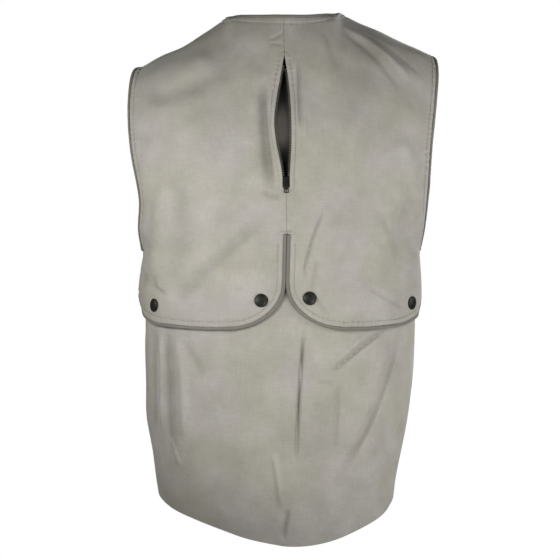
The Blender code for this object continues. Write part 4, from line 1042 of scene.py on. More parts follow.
def woven(name, colour, pitch, rib, cloud, sheen, twill=False, rough=0.86, worn=0.32):
    """Woven yarn: threads a pitch apart crossing in the flat cut, slubs, uneven cloudy dye, painted shade in
    troughs by worn.
    """
    material, tree, shader = new_finish(
        name, Roughness=rough, Sheen_Weight=sheen, Sheen_Roughness=0.5, Specular_IOR_Level=0.25
    )
    flat = add_node(tree, "ShaderNodeUVMap", uv_map="cut").outputs["UV"]
    solid = add_node(tree, "ShaderNodeTexCoord").outputs["Object"]
    slant = {"Rotation": (0, 0, math.radians(TWILL_SLANT if twill else 0))}
    slanted = add_node(tree, "ShaderNodeMapping", slant, {"Vector": flat}).outputs["Vector"]
    # One thread to each pitch, and the threads that cross them a little further apart
    bands = []
    for share, wobble, way, places in ((1.0, 0.6, "X", slanted), (0.8, 0.5, "Y", flat)):
        values = {"Scale": BAND_UNIT / pitch * share, "Distortion": wobble}
        values.update({"Detail": 1.0, "Detail Scale": 0.02})
        band = add_node(tree, "ShaderNodeTexWave", values, {"Vector": places}, bands_direction=way)
        bands.append(band.outputs["Fac"])
    weave = add_node(tree, "ShaderNodeMix", {"Factor": 0.3 if twill else 0.5}, {"A": bands[0], "B": bands[1]})
    weave = weave.outputs["Result"]
    # Slubs: threads that swell for a centimetre or two, along the warp and along the weft
    uneven = []
    for stretch in ((1.0, SLUB_STRETCH, 1.0), (SLUB_STRETCH, 1.0, 1.0)):
        drawn = add_node(tree, "ShaderNodeMapping", {"Scale": stretch}, {"Vector": flat}).outputs["Vector"]
        values = {"Scale": SLUB_SCALE, "Detail": 3.0}
        swollen = add_node(tree, "ShaderNodeTexNoise", values, {"Vector": drawn})
        uneven.append(swollen.outputs["Fac"])
    slub = add_node(tree, "ShaderNodeMix", {"Factor": 0.5}, {"A": uneven[0], "B": uneven[1]})
    slub = slub.outputs["Result"]
    dye, tint = (
        add_node(tree, "ShaderNodeTexNoise", {"Detail": 4.0, **values}, {"Vector": solid}).outputs["Fac"]
        for values in ({"Scale": DYE_SCALE, "Roughness": 0.55}, {"Scale": TINT_SCALE})
    )
    # Depth in the folds' troughs, by which the colour is darkened as painted shade
    crease = add_node(tree, "ShaderNodeAttribute", attribute_name="crease").outputs["Fac"]
    ramp = add_node(tree, "ShaderNodeMapRange", {"From Min": 0.3, "From Max": 0.7}, {"Value": dye})
    clouds = {"A": shifted(colour, (1 - cloud,) * 3), "B": shifted(colour, (1 + cloud,) * 3)}
    shade = add_node(tree, "ShaderNodeMix", clouds, {"Factor": ramp.outputs["Result"]}, data_type="RGBA")
    # Each pattern multiplies the colour so far: its range, its strength at the end of it, and the factors
    patterns = (
        (tint, 0.4, 0.6, 0.9, (1.01, 0.99, 1.09)),
        (slub, 0.35, 0.65, 0.14, (0.2, 0.2, 0.2)),
        (weave, 0.0, 1.0, rib, (0.3, 0.3, 0.3)),
        # Painted shade: the cloth darkens in the folds' troughs, the more so the deeper they are
        (crease, 0.0, 1.0, worn, (0.1, 0.1, 0.1)),
    )
    for pattern, least, most, strength, factor in patterns:
        limits = {"From Min": least, "From Max": most, "To Max": strength}
        ramp = add_node(tree, "ShaderNodeMapRange", limits, {"Value": pattern})
        values = {"B": (*factor, 1.0)}
        links = {"Factor": ramp.outputs["Result"], "A": shade.outputs["Result"]}
        shade = add_node(tree, "ShaderNodeMix", values, links, data_type="RGBA", blend_type="MULTIPLY")
    tree.links.new(shade.outputs["Result"], shader.inputs["Base Color"])
    raised = add_node(tree, "ShaderNodeMix", {"Factor": 0.45}, {"A": weave, "B": slub}).outputs["Result"]
    bump = add_node(tree, "ShaderNodeBump", {"Strength": 0.35, "Distance": 0.0004}, {"Height": raised})
    tree.links.new(bump.outputs["Normal"], shader.inputs["Normal"])
    return material


def smooth_hard(name, colour, rough, shine, grain, wear):
    """A hard finish, moulded or enamelled, with fine unevenness and rubbed high spots."""
    material, tree, shader = new_finish(name, Specular_IOR_Level=shine)
    solid = add_node(tree, "ShaderNodeTexCoord").outputs["Object"]
    fine = add_node(tree, "ShaderNodeTexNoise", {"Scale": 1.0 / grain, "Detail": 3.0}, {"Vector": solid})
    broad = add_node(tree, "ShaderNodeTexNoise", {"Scale": 0.2 / grain, "Detail": 2.0}, {"Vector": solid})
    limits = {"From Min": 0.35, "From Max": 0.75}
    ramp = add_node(tree, "ShaderNodeMapRange", limits, {"Value": broad.outputs["Fac"]})
    worn = {"A": (*colour, 1.0), "B": shifted(colour, (wear,) * 3)}
    mix = add_node(tree, "ShaderNodeMix", worn, {"Factor": ramp.outputs["Result"]}, data_type="RGBA")
    tree.links.new(mix.outputs["Result"], shader.inputs["Base Color"])
    limits = {"From Min": 0.3, "From Max": 0.7, "To Min": rough - 0.06, "To Max": rough + 0.08}
    rub = add_node(tree, "ShaderNodeMapRange", limits, {"Value": fine.outputs["Fac"]})
    tree.links.new(rub.outputs["Result"], shader.inputs["Roughness"])
    height = {"Height": fine.outputs["Fac"]}
    bump = add_node(tree, "ShaderNodeBump", {"Strength": 0.3, "Distance": 0.0002}, height)
    tree.links.new(bump.outputs["Normal"], shader.inputs["Normal"])
    return material


@functools.cache
def finishes():
    """All the materials, each named for what it is and how it was made."""
    colours = bpy.context.scene.vest_colours
    return {
        # Brushed cotton twill: matt, soft sheen, steep ribs. They are 0.5 mm apart, and drawn 0.9 mm to show
        "twill": woven(
            "Cotton twill, piece dyed", colours.twill,
            twill=True, pitch=0.0009, rib=0.14, cloud=0.10, sheen=0.12,
        ),
        # Folded cotton tape: darker than the twill, partly its own tone and partly painted shade
        "binding": woven(
            "Cotton tape, folded", colours.binding, pitch=0.0007, rib=0.14, cloud=0.05, sheen=0.10
        ),
        # Plain-woven lining: dark, dull and even, and painted shade makes it nearly black in its troughs
        "lining": woven(
            "Plain-weave lining", colours.lining, pitch=0.0008, rib=0.16, cloud=0.05, sheen=0.05, worn=0.9
        ),
        # Polyester zip tape: tight ribs, near black
        "zip_tape": woven(
            "Polyester zip tape", colours.zip_tape, pitch=0.0006, rib=0.25, cloud=0.06, sheen=0.05, rough=0.7
        ),
        # Spun polyester thread: short bright-and-dark twists
        "thread": woven(
            "Polyester thread, spun", colours.thread,
            twill=True, pitch=0.0003, rib=0.25, cloud=0.05, sheen=0.10, rough=0.6,
        ),
        # Acetal teeth: moulded, a little glossy. Their grey is partly their own tone and partly painted
        # highlight
        "teeth": smooth_hard(
            "Acetal, injection moulded", colours.teeth, rough=0.36, shine=0.5, grain=0.0004, wear=1.5
        ),
        # Zinc slider and brass caps under baked enamel: near black, satin, rubbed a little lighter
        "enamel": smooth_hard(
            "Baked enamel on metal", colours.enamel, rough=0.46, shine=0.28, grain=0.0011, wear=2.0
        ),
    }


def start_piece():
    """Nothing selected, object mode."""
    if bpy.context.object and bpy.context.object.mode != "OBJECT":
        bpy.ops.object.mode_set(mode="OBJECT")
    bpy.ops.object.select_all(action="DESELECT")


def choose_faces(obj, test):
    """In edit mode, selects only the faces whose normal passes the test."""
    bpy.ops.mesh.select_mode(type="FACE")
    bpy.ops.mesh.select_all(action="DESELECT")
    mesh = bmesh.from_edit_mesh(obj.data)
    for face in mesh.faces:
        face.select_set(bool(test(face.normal)))
    mesh.select_flush_mode()
    bmesh.update_edit_mesh(obj.data)


def block(size, centre, bevel, taper=1.0):
    """A block with a tapered front and rounded edges. Its front faces +Y."""
    start_piece()
    bpy.ops.mesh.primitive_cube_add(size=1.0)
    obj = bpy.context.object
    bpy.ops.object.mode_set(mode="EDIT")
    bpy.ops.mesh.select_all(action="SELECT")
    bpy.ops.transform.resize(value=size)
    choose_faces(obj, lambda normal: normal.y > 0.9)
    bpy.ops.transform.resize(value=(taper, 1, taper), center_override=(0, 0, 0))
    bpy.ops.mesh.select_all(action="SELECT")
    bpy.ops.mesh.bevel(offset=bevel, segments=2, profile=0.7, affect="EDGES")
    bpy.ops.mesh.select_all(action="SELECT")
    bpy.ops.transform.translate(value=centre)
    bpy.ops.object.mode_set(mode="OBJECT")
    return obj


def join_pieces(name, pieces, place, material):
    """Joins pieces into one object with its place in its mesh."""
    start_piece()
    for piece in pieces:
        piece.select_set(True)
    bpy.context.view_layer.objects.active = pieces[0]
    if len(pieces) > 1:
        bpy.ops.object.join()
    obj = bpy.context.object
    obj.name = obj.data.name = name
    obj.data.transform(place)
    obj.data.materials.clear()
    obj.data.materials.append(material)
    bpy.ops.object.shade_smooth_by_angle(angle=math.radians(40))
    return obj


def turned(rings, segments):
    """A round piece raised ring by ring. Rings are radius and height, and the ends are closed."""
    start_piece()
    radius, height = rings[0]
    bpy.ops.mesh.primitive_circle_add(
        vertices=segments, radius=radius, fill_type="NGON", location=(0, 0, height)
    )
    obj = bpy.context.object
    bpy.ops.object.transform_apply(location=True)
    bpy.ops.object.mode_set(mode="EDIT")
    bpy.ops.mesh.select_all(action="SELECT")
    for (old, low), (new, high) in zip(rings, rings[1:], strict=False):
        bpy.ops.mesh.extrude_region_move(TRANSFORM_OT_translate={"value": (0, 0, high - low)})
        scale = new / old
        bpy.ops.transform.resize(value=(scale, scale, 1), center_override=(0, 0, high))
    bpy.ops.mesh.select_all(action="SELECT")
    bpy.ops.mesh.normals_make_consistent(inside=False)
    bpy.ops.object.mode_set(mode="OBJECT")
    return obj


def copies(name, model, places, material):
    """One mesh of many copies of a small model, each at its own place, turn and size."""
    verts = np.array([v.co for v in model.data.vertices])
    polygons = [list(p.vertices) for p in model.data.polygons]
    count = len(verts)
    points = np.concatenate([verts @ turn.T + centre for centre, turn in places])
    faces = [[v + k * count for v in polygon] for k in range(len(places)) for polygon in polygons]
    mesh = bpy.data.meshes.new(name)
    mesh.from_pydata(points.tolist(), [], faces)
    mesh.materials.append(material)
    obj = bpy.data.objects.new(name, mesh)
    bpy.context.scene.collection.objects.link(obj)
    start_piece()
    obj.select_set(True)
    bpy.context.view_layer.objects.active = obj
    bpy.ops.object.shade_smooth_by_angle(angle=math.radians(50))
    flat = np.stack([points[:, 0] + points[:, 1], points[:, 2]], -1)
    set_cut_map(obj, flat)
    bpy.data.objects.remove(model)
    return obj


def frames_along(path, normals, step, skip=0.5):
    """Places at even steps along a path: centre and axes along it, aside and out."""
    run = lengths(path)
    at = np.arange(step * skip, run[-1], step)
    centre, out = read_path(at, run, path), unit(read_path(at, run, normals))
    reach = 0.0005
    along = unit(read_path(at + reach, run, path) - read_path(at - reach, run, path))
    out = unit(square_to(along, out))
    return centre, along, np.cross(out, along), out


def evened(directions, closed, passes=10):
    """Directions along a path, each turned a little towards its neighbours."""
    for _ in range(passes):
        before, after = np.roll(directions, 1, 0), np.roll(directions, -1, 0)
        if not closed:
            before[0], after[-1] = directions[0], directions[-1]
        directions = unit(before + 2 * directions + after)
    return directions


def folded_edge(name, edge, normals, inside, width, thickness, closed, material):
    """A tape folded over a cut edge, with its open side towards the cloth."""
    sizes = bpy.context.scene.vest_sizes
    points, normals, inside = resample(edge, BINDING_STEP, normals, inside)
    if closed:
        points, normals, inside = points[:-1], normals[:-1], inside[:-1]
        run = unit(np.roll(points, -1, 0) - np.roll(points, 1, 0))
    else:
        run = unit(np.gradient(points, axis=0))
    side = evened(unit(square_to(run, points - inside)), closed)
    gap = SEAM_GAP + sizes.cloth * np.maximum(-np.sum(normals * side, -1, keepdims=True), 0)
    normals = unit(square_to(side, normals))
    # The fold is a little thicker and thinner, every 20 to 40 mm
    along = lengths(points)
    swell = 1 + 0.05 * np.sin(along * 310 + 2 * np.sin(along * 90)) + 0.04 * np.sin(along * 170 + 1)
    half = thickness / 2
    turn = np.linspace(-math.pi / 2, math.pi / 2, 7)
    outer, inner = (
        [(-BINDING_LAP, -radius)]
        + [(width - half + radius * math.cos(a), radius * math.sin(a)) for a in turn]
        + [(-BINDING_LAP, radius)]
        for radius in (half, half - sizes.tape_wall)
    )
    centre = points - normals * sizes.cloth / 2
    profile = outer + inner[::-1]
    stack = [centre + side * (gap + x) + normals * (y * swell[:, None]) for x, y in profile]
    return swept(name, np.stack(stack, 1), material, closed)


def edge_rows(grid, normals, index):
    """A cut edge of a cloth: its points, its normals and the points a few places inside it."""
    within = tuple(INSIDE[part] if isinstance(part, int) else part for part in index)
    return grid[index], normals[index], grid[within]


def joined(*parts):
    """Stretches of an edge, each as edge_rows gives it, end to end."""
    return [np.concatenate([part[k] for part in parts]) for k in range(3)]


def flap_edge(points, normals, first, last):
    """A flap's free edge, from a row beside the slit, round the bottom and up to a row of its side."""
    return joined(
        edge_rows(points, normals, np.s_[first:0:-1, 0]),
        edge_rows(points, normals, np.s_[0, :]),
        edge_rows(points, normals, np.s_[1:last, -1]),
    )


def closed_path(parts):
    """An edge, as edge_rows gives it, that ends at its first point."""
    return [np.concatenate([part, part[:1]]) for part in parts]


def surface(points):
    """A cloth's outer side, for finding places on it."""
    return BVHTree.FromPolygons(points.reshape(-1, 3).tolist(), grid_faces(*points.shape[:2]).tolist())


def on_cloth(points, normals, path, side, inset):
    """A path moved in from a cut edge and laid on the cloth, with the cloth's normals there."""
    tree = surface(points)
    flat = normals.reshape(-1, 3)
    places, outs = [], []
    for place in path - side * inset:
        found, _, index, _ = tree.find_nearest(Vector(place))
        row, col = divmod(index, points.shape[1] - 1)
        places.append(found)
        outs.append(flat[row * points.shape[1] + col])
    return np.array(places), np.array(outs)


def sew(name, lines, material):
    """Rows of stitches. Each line is a path on the cloth with its normals."""
    sizes = bpy.context.scene.vest_sizes
    # The stitch is modelled one unit long and thick, with its ends drawn in, and then scaled
    start_piece()
    bpy.ops.mesh.primitive_cylinder_add(vertices=6, radius=0.5, depth=0.72, end_fill_type="NGON")
    stitch = bpy.context.object
    bpy.ops.object.mode_set(mode="EDIT")
    choose_faces(stitch, lambda normal: abs(normal.z) > 0.9)
    bpy.ops.mesh.inset(thickness=0.2, depth=0.14, use_individual=True)
    bpy.ops.object.mode_set(mode="OBJECT")
    places = []
    for path, normals in lines:
        centre, along, aside, out = frames_along(path, normals, sizes.stitch_pitch)
        for k in range(len(centre)):
            high = out[k] * sizes.thread
            axes = (aside[k] * sizes.thread, high * THREAD_FLAT, along[k] * sizes.stitch_length)
            places.append((centre[k] + high * THREAD_OUT, np.stack(axes, 1)))
    return copies(name, stitch, places, material)


def inset_line(grid, normals, index, inset):
    """The line of a row of stitching, a set distance in from a cut edge."""
    edge, _, inside = edge_rows(grid, normals, index)
    side = unit(square_to(unit(np.gradient(edge, axis=0)), edge - inside))
    edge, side = resample(edge, PATH_STEP, side)
    return on_cloth(grid, normals, edge, unit(side), inset)


class VestOperator:
    """What the vest's operators share."""

    bl_options = {"REGISTER", "UNDO"}


class VEST_OT_capes(VestOperator, bpy.types.Operator):
    """Adds the two capes of the upper back with the piping of their flaps"""

    bl_idname = "vest.capes"
    bl_label = "Capes and flaps"

    def execute(self, context):
        sizes, finish = context.scene.vest_sizes, finishes()
        for side in SIDES:
            points, normals, place = cape(side)
            name = f"cape_{side}"
            cloth = cloth_wall(f"{name}_cloth", points, normals, sizes.cloth, finish["twill"], CAPE_FOLDS)
            dress(cloth, name)
            path = flap_edge(points, normals, place["low"] - 1, place["free"] + 1)
            size = (sizes.piping_width, sizes.piping_thickness)
            piping = folded_edge(f"flap_piping_{side}_tape", *path, *size, False, finish["binding"])
            dress(piping, f"flap_piping_{side}")
        return {"FINISHED"}


class VEST_OT_pouch(VestOperator, bpy.types.Operator):
    """Adds the lower back panel, the face of the game pouch"""

    bl_idname = "vest.pouch"
    bl_label = "Game pouch"

    def execute(self, context):
        points, normals = pouch()
        thickness = context.scene.vest_sizes.cloth
        cloth = cloth_wall("pouch_cloth", points, normals, thickness, finishes()["twill"], POUCH_FOLDS)
        dress(cloth, "pouch")
        return {"FINISHED"}


class VEST_OT_lining(VestOperator, bpy.types.Operator):
    """Adds the dark back lining that shows through the back zip"""

    bl_idname = "vest.lining"
    bl_label = "Back lining"

    def execute(self, context):
        thickness, finish = context.scene.vest_sizes.lining, finishes()["lining"]
        for name, *limits in LINING_PANELS:
            cloth = cloth_wall(f"{name}_cloth", *lining_panel(*limits), thickness, finish, LINING_FOLDS)
            dress(cloth, name)
        return {"FINISHED"}


class VEST_OT_fronts(VestOperator, bpy.types.Operator):
    """Adds the two plain fronts"""

    bl_idname = "vest.fronts"
    bl_label = "Fronts"

    def execute(self, context):
        thickness, finish = context.scene.vest_sizes.cloth, finishes()["twill"]
        for side in SIDES:
            points, normals, _ = front(side)
            cloth = cloth_wall(f"front_{side}_cloth", points, normals, thickness, finish, FRONT_FOLDS)
            dress(cloth, f"front_{side}")
        return {"FINISHED"}


def armhole_edge(side):
    """The cut edge of one armhole, all the way round."""
    back, back_out, place = cape(side)
    ahead, ahead_out, front_place = front(side)
    path = joined(
        edge_rows(back, back_out, np.s_[place["low"] :, -1]),
        edge_rows(ahead, ahead_out, np.s_[: front_place["low"] - 1 : -1, -1]),
    )
    return closed_path(path)


def neck_edge():
    """The cut edge of the neck, from the foot of the V round the back to the foot of the V again."""
    halves = []
    for side in SIDES:
        back, back_out, place = cape(side)
        ahead, ahead_out, front_place = front(side)
        half = joined(
            edge_rows(ahead, ahead_out, np.s_[front_place["blade"] :, 0]),
            edge_rows(back, back_out, np.s_[-1, place["neck"] - 1 : 0 : -1]),
        )
        halves.append(half if side == "left" else [part[::-1] for part in half])
    return joined(*halves)


class VEST_OT_bindings(VestOperator, bpy.types.Operator):
    """Adds the bindings of the armholes and the neck"""

    bl_idname = "vest.bindings"
    bl_label = "Bindings"

    def execute(self, context):
        sizes, finish = context.scene.vest_sizes, finishes()["binding"]
        size = (sizes.binding_width, sizes.binding_thickness)
        for side in SIDES:
            name = f"armhole_binding_{side}"
            ring = folded_edge(f"{name}_tape", *armhole_edge(side), *size, True, finish)
            dress(ring, name)
        ring = folded_edge("neck_binding_tape", *neck_edge(), *size, False, finish)
        dress(ring, "neck_binding")
        return {"FINISHED"}


def cape_stitches(side):
    """The rows of stitching on one cape: armhole, neckline, back zip and flap."""
    points, normals, place = cape(side)
    low, free, neck, rows = place["low"], place["free"], place["neck"], place["zip"]
    edge, _, inside = flap_edge(points, normals, low - 3, free - 2)
    outwards = unit(square_to(unit(np.gradient(edge, axis=0)), edge - inside))
    edge, outwards = resample(edge, PATH_STEP, outwards)
    outwards = unit(sum(np.roll(outwards, k, 0) for k in (-2, -1, 0, 1, 2)))
    return [
        inset_line(points, normals, np.s_[low:-1, -1], ARMHOLE_STITCH),
        inset_line(points, normals, np.s_[-1, :neck], NECK_STITCH),
        inset_line(points, normals, np.s_[rows[3:-6], 0], ZIP_STITCH),
        on_cloth(points, normals, edge[4:-4], outwards[4:-4], FLAP_STITCH),
    ]


def front_stitches(side):
    """The rows of stitching on one front: armhole, neckline and front zip."""
    points, normals, place = front(side)
    low, blade = place["low"], place["blade"]
    return [
        inset_line(points, normals, np.s_[low:-1, -1], ARMHOLE_STITCH),
        inset_line(points, normals, np.s_[blade:-1, 0], NECK_STITCH),
        inset_line(points, normals, np.s_[2:blade, 0], FRONT_ZIP_STITCH),
    ]


def bar_tack_rows():
    """The rows of the bar tack, laid on both capes above the slit."""
    half, tall = BAR_TACK
    middle = seam_x(SLIT_Z)
    cloths = {side: surface(cape(side)[0]) for side in SIDES}
    rows = []
    for rise in (0.0, tall / 2, tall):
        line = []
        for x in np.linspace(-half, half, BAR_TACK_PLACES)[::4]:
            start = Vector((middle + x, -0.2, SLIT_Z + BAR_TACK_RISE + rise))
            found = cloths["left" if x < 0 else "right"].ray_cast(start, Vector((0, 1, 0)))[0]
            if found is not None:
                line.append(found)
        line = np.array(line)
        rows.append((line, np.broadcast_to((0.0, -1.0, 0.0), line.shape)))
    return rows


class VEST_OT_stitching(VestOperator, bpy.types.Operator):
    """Adds the rows of topstitching and the bar tack above the slit"""

    bl_idname = "vest.stitching"
    bl_label = "Topstitching"

    def execute(self, context):
        thread = finishes()["thread"]
        for side in SIDES:
            fit(sew(f"cape_{side}_stitches", cape_stitches(side), thread), "twill")
            fit(sew(f"front_{side}_stitches", front_stitches(side), thread), "twill")
        fit(sew("slit_bar_tack", bar_tack_rows(), thread), "twill")
        return {"FINISHED"}


def slider_place(half, z, x):
    """Where a slider sits: local +Y is away from the cloth, +Z up along the zip."""
    level = level_of(half, 0.0, z)
    share = share_at(half, level, x)
    level = level_of(half, share, z)
    centre, normal = form(half, share, level), outward(half, share, level)
    up = unit(np.array([0.0, 0.0, 1.0]) - normal * normal[2])
    return Matrix((*zip(np.cross(normal, up), normal, up, centre, strict=True), (0.0, 0.0, 0.0, 1.0)))


def add_slider(half, z, x):
    """The slider with its bridge, and the pull tab on its joint."""
    place = slider_place(half, z, x)
    enamel = finishes()["enamel"]
    low, high, behind = PLATE_LOW, PLATE_HIGH, BACK_PLATE_LOW
    back_size = (SLIDER_WIDTH - BACK_PLATE_LESS[0], BACK_PLATE, SLIDER_LENGTH - BACK_PLATE_LESS[1])
    rail = (0, high + BRIDGE_OUT, sum(BRIDGE_FEET_Z) / 2)
    foot = (BRIDGE, BRIDGE_RISE, BRIDGE_FOOT)
    parts = [
        block((SLIDER_WIDTH, high - low, SLIDER_LENGTH), (0, (low + high) / 2, 0), PLATE_BEVEL, PLATE_TAPER),
        block(back_size, (0, behind + BACK_PLATE / 2, 0), BACK_PLATE_BEVEL),
        block((POST, low - behind, POST_LENGTH), (0, (low + behind) / 2, POST_Z), POST_BEVEL),
        *(block(foot, (0, high + BRIDGE_FOOT_OUT, foot_z), BEVEL) for foot_z in BRIDGE_FEET_Z),
        block((BRIDGE, BRIDGE_WALL, BRIDGE_LENGTH), rail, BEVEL),
    ]
    fit(join_pieces(f"{half}_zip_runner", parts, place, enamel), "dark_metal", f"{half}_zip_slider")
    joint = next(j for j in frame["joints"] if j["child"] == f"{half}_tab")
    hinge = place.copy()
    hinge.translation = joint["pos_m"]
    parts = [
        block((TAB_EYE + 2 * TAB_ARM, TAB_THICK, TAB_THICK), (0, 0, 0), BEVEL),
        block((TAB_WIDTH, TAB_THICK, TAB_PLATE), (0, 0, TAB_PLATE_Z), BEVEL, TAB_TAPER),
        block((TAB_WIDTH, TAB_THICK, TAB_RING), (0, 0, TAB_RING_Z), BEVEL),
    ]
    window = TAB_PLATE_Z - TAB_RING_Z
    for sign in (-1, 1):
        arm, bar = sign * (TAB_EYE + TAB_ARM) / 2, sign * (TAB_WIDTH - TAB_ARM) / 2
        parts.append(block((TAB_ARM, TAB_THICK, -TAB_PLATE_Z), (arm, 0, TAB_PLATE_Z / 2), BEVEL))
        parts.append(block((TAB_ARM, TAB_THICK, window), (bar, 0, (TAB_PLATE_Z + TAB_RING_Z) / 2), BEVEL))
    tab = join_pieces(f"{half}_zip_pull", parts, hinge, enamel)
    fit(tab, "dark_metal", f"{half}_zip_tab", body=f"{half}_tab")


def zip_row(name, path, normals, side):
    """One side's row of moulded teeth, along a path on its tape's edge."""
    start_piece()
    bpy.ops.mesh.primitive_cube_add(size=1.0)
    tooth = bpy.context.object
    bpy.ops.object.mode_set(mode="EDIT")
    bpy.ops.mesh.select_all(action="SELECT")
    bpy.ops.transform.resize(value=TOOTH)
    choose_faces(tooth, lambda normal: normal.x > 0.9)
    bpy.ops.mesh.inset(thickness=TOOTH_RIM)
    neck, head = TOOTH[0] / 2 + TOOTH_NECK, TOOTH[0] / 2 + TOOTH_NECK + TOOTH_HEAD
    bpy.ops.mesh.extrude_region_move(TRANSFORM_OT_translate={"value": (TOOTH_NECK, 0, 0)})
    bpy.ops.transform.resize(value=(1, 1.25, 1.4), center_override=(neck, 0, 0))
    bpy.ops.mesh.extrude_region_move(TRANSFORM_OT_translate={"value": (TOOTH_HEAD, 0, 0)})
    bpy.ops.transform.resize(value=(1, 0.7, 0.7), center_override=(head, 0, 0))
    bpy.ops.object.mode_set(mode="OBJECT")
    pitch = bpy.context.scene.vest_sizes.tooth_pitch
    centre, _, aside, out = frames_along(path, normals, pitch, TEETH_SKIP[side])
    inward = (-SIDES[side], 0, 0)
    places = []
    for k in range(len(centre)):
        across = aside[k] if np.dot(aside[k], inward) > 0 else -aside[k]
        turn = np.stack([across, out[k], np.cross(across, out[k])], 1)
        places.append((centre[k] + across * TOOTH_OUT, turn))
    return copies(name, tooth, places, finishes()["teeth"])


def back_zip_edge(side, heights):
    """One edge of the back zip's mouth at some heights: places, normals and the way into the mouth."""
    sign = SIDES[side]
    x = seam_x(heights) + sign * (mouth_width(side, heights) + SEAM_GAP / 2)
    share = share_at("back", level_of("back", 0.0, heights), x)
    level = level_of("back", share, heights)
    points, normals = form("back", share, level), outward("back", share, level)
    inward = unit(np.cross(np.gradient(points, axis=0), normals))
    return points, normals, inward * np.sign(-sign * inward[:, :1])


def back_zip_band(side, heights):
    """Cross-sections of one tape of the back zip. It follows the cape's folds from behind."""
    points, normals, inward = back_zip_edge(side, heights)
    shown = np.minimum(TAPE_SHOWN, np.maximum(mouth_width(side, heights) - SEAM_GAP, 0))[:, None]
    across_tape = [shown - (TAPE_HIDDEN + shown) * k / (TAPE_PLACES - 1) for k in range(TAPE_PLACES)]
    profile = [(across, TAPE_BACK) for across in across_tape[::-1]]
    profile += [(across, TAPE_FACE) for across in across_tape]
    stack = []
    for across, out in profile:
        place = points + inward * across
        lift = fold_lift(CAPE_FOLDS, place[:, 0], place[:, 2]) + np.minimum(waves(place), 0)
        stack.append(place + normals * (out + lift[:, None]))
    return np.stack(stack, 1)


def back_teeth_line(side, heights):
    """The line of one row of the back zip's teeth, where the mouth shows them, with its normals."""
    points, normals, _ = back_zip_edge(side, heights)
    lift = fold_lift(CAPE_FOLDS, points[:, 0], points[:, 2])
    points = points + normals * lift[:, None]
    apart = mouth_width(side, heights) > TEETH_MOUTH
    return points[apart] + normals[apart] * BACK_TEETH, normals[apart]


class VEST_OT_back_zip(VestOperator, bpy.types.Operator):
    """Adds the open back zip: both tapes, their teeth, the slider and its tab"""

    bl_idname = "vest.back_zip"
    bl_label = "Back zip"

    def execute(self, context):
        heights = even_steps(*BACK_TAPE_Z, BACK_TAPE_STEP)
        for side in SIDES:
            band = back_zip_band(side, heights)
            tape = swept(f"back_zip_{side}_tape", band, finishes()["zip_tape"], False)
            dress(tape, f"back_zip_tape_{side}")
            teeth = zip_row(f"back_zip_{side}_teeth", *back_teeth_line(side, heights), side)
            fit(teeth, "zip_tape")
        add_slider("back", BACK_SLIDER_Z, seam_x(BACK_SLIDER_Z))
        return {"FINISHED"}


class VEST_OT_front_zip(VestOperator, bpy.types.Operator):
    """Adds the closed front zip: tape, teeth, slider and tab"""

    bl_idname = "vest.front_zip"
    bl_label = "Front zip"

    def execute(self, context):
        low = form("front", 0.0, 0.0)[2] + FRONT_TAPE_RISE
        heights = even_steps(low, FRONT_TAPE_TOP_Z, FRONT_TAPE_STEP)
        level = level_of("front", 0.0, heights)
        points, normals = form("front", 0.0, level), outward("front", 0.0, level)
        aside = np.array([1.0, 0.0, 0.0])
        half, back, face = FRONT_TAPE_HALF, FRONT_TAPE_BACK, FRONT_TAPE_FACE
        profile = ((-half, back), (half, back), (half, face), (-half, face))
        stack = [points + aside * across + normals * out for across, out in profile]
        tape = swept("front_zip_woven_tape", np.stack(stack, 1), finishes()["zip_tape"], False)
        dress(tape, "front_zip_tape")
        for side, sign in SIDES.items():
            path = points + aside * sign * FRONT_TEETH_ASIDE + normals * FRONT_TEETH
            fit(zip_row(f"front_zip_{side}_teeth", path, normals, side), "zip_tape")
        add_slider("front", FRONT_SLIDER_Z, 0.0)
        return {"FINISHED"}


class VEST_OT_studs(VestOperator, bpy.types.Operator):
    """Adds the four press studs of the flaps"""

    bl_idname = "vest.studs"
    bl_label = "Press studs"

    def execute(self, context):
        sizes = context.scene.vest_sizes
        rings = [(r * sizes.stud_radius, h * sizes.stud_height) for r, h in STUD_RINGS]
        for name, (x, z) in STUDS.items():
            points, _, _ = cape(name.split("_")[1])
            seat, normal, _, _ = surface(points).ray_cast(Vector((x, -1, z)), Vector((0, 1, 0)))
            if normal.y > 0:
                normal = -normal
            turn = normal.to_track_quat("Z", "Y").to_matrix().to_4x4()
            place = Matrix.Translation(seat + normal * SEAM_GAP) @ turn
            cap = turned(rings, STUD_SEGMENTS)
            cap = join_pieces(f"stud_{name}_cap", [cap], place, finishes()["enamel"])
            fit(cap, "dark_metal", f"stud_{name}")
        return {"FINISHED"}


def add_floor():
    """A wide floor, which gives off a little light that only the camera sees."""
    start_piece()
    bpy.ops.mesh.primitive_circle_add(
        vertices=96, radius=FLOOR_RADIUS, fill_type="NGON", location=(0, 0, FLOOR_Z)
    )
    floor = bpy.context.object
    bpy.ops.object.transform_apply(location=True)
    floor.name = "floor"
    material, tree, shader = new_finish("Painted plaster, matt", Roughness=0.9)
    for name in ("Base Color", "Emission Color"):
        shader.inputs[name].default_value = (*linear(FLOOR_COLOUR), 1.0)
    ray = add_node(tree, "ShaderNodeLightPath").outputs["Is Camera Ray"]
    glow = add_node(tree, "ShaderNodeMath", {1: FLOOR_GLOW}, {0: ray}, operation="MULTIPLY")
    tree.links.new(glow.outputs["Value"], shader.inputs["Emission Strength"])
    floor.data.materials.append(material)


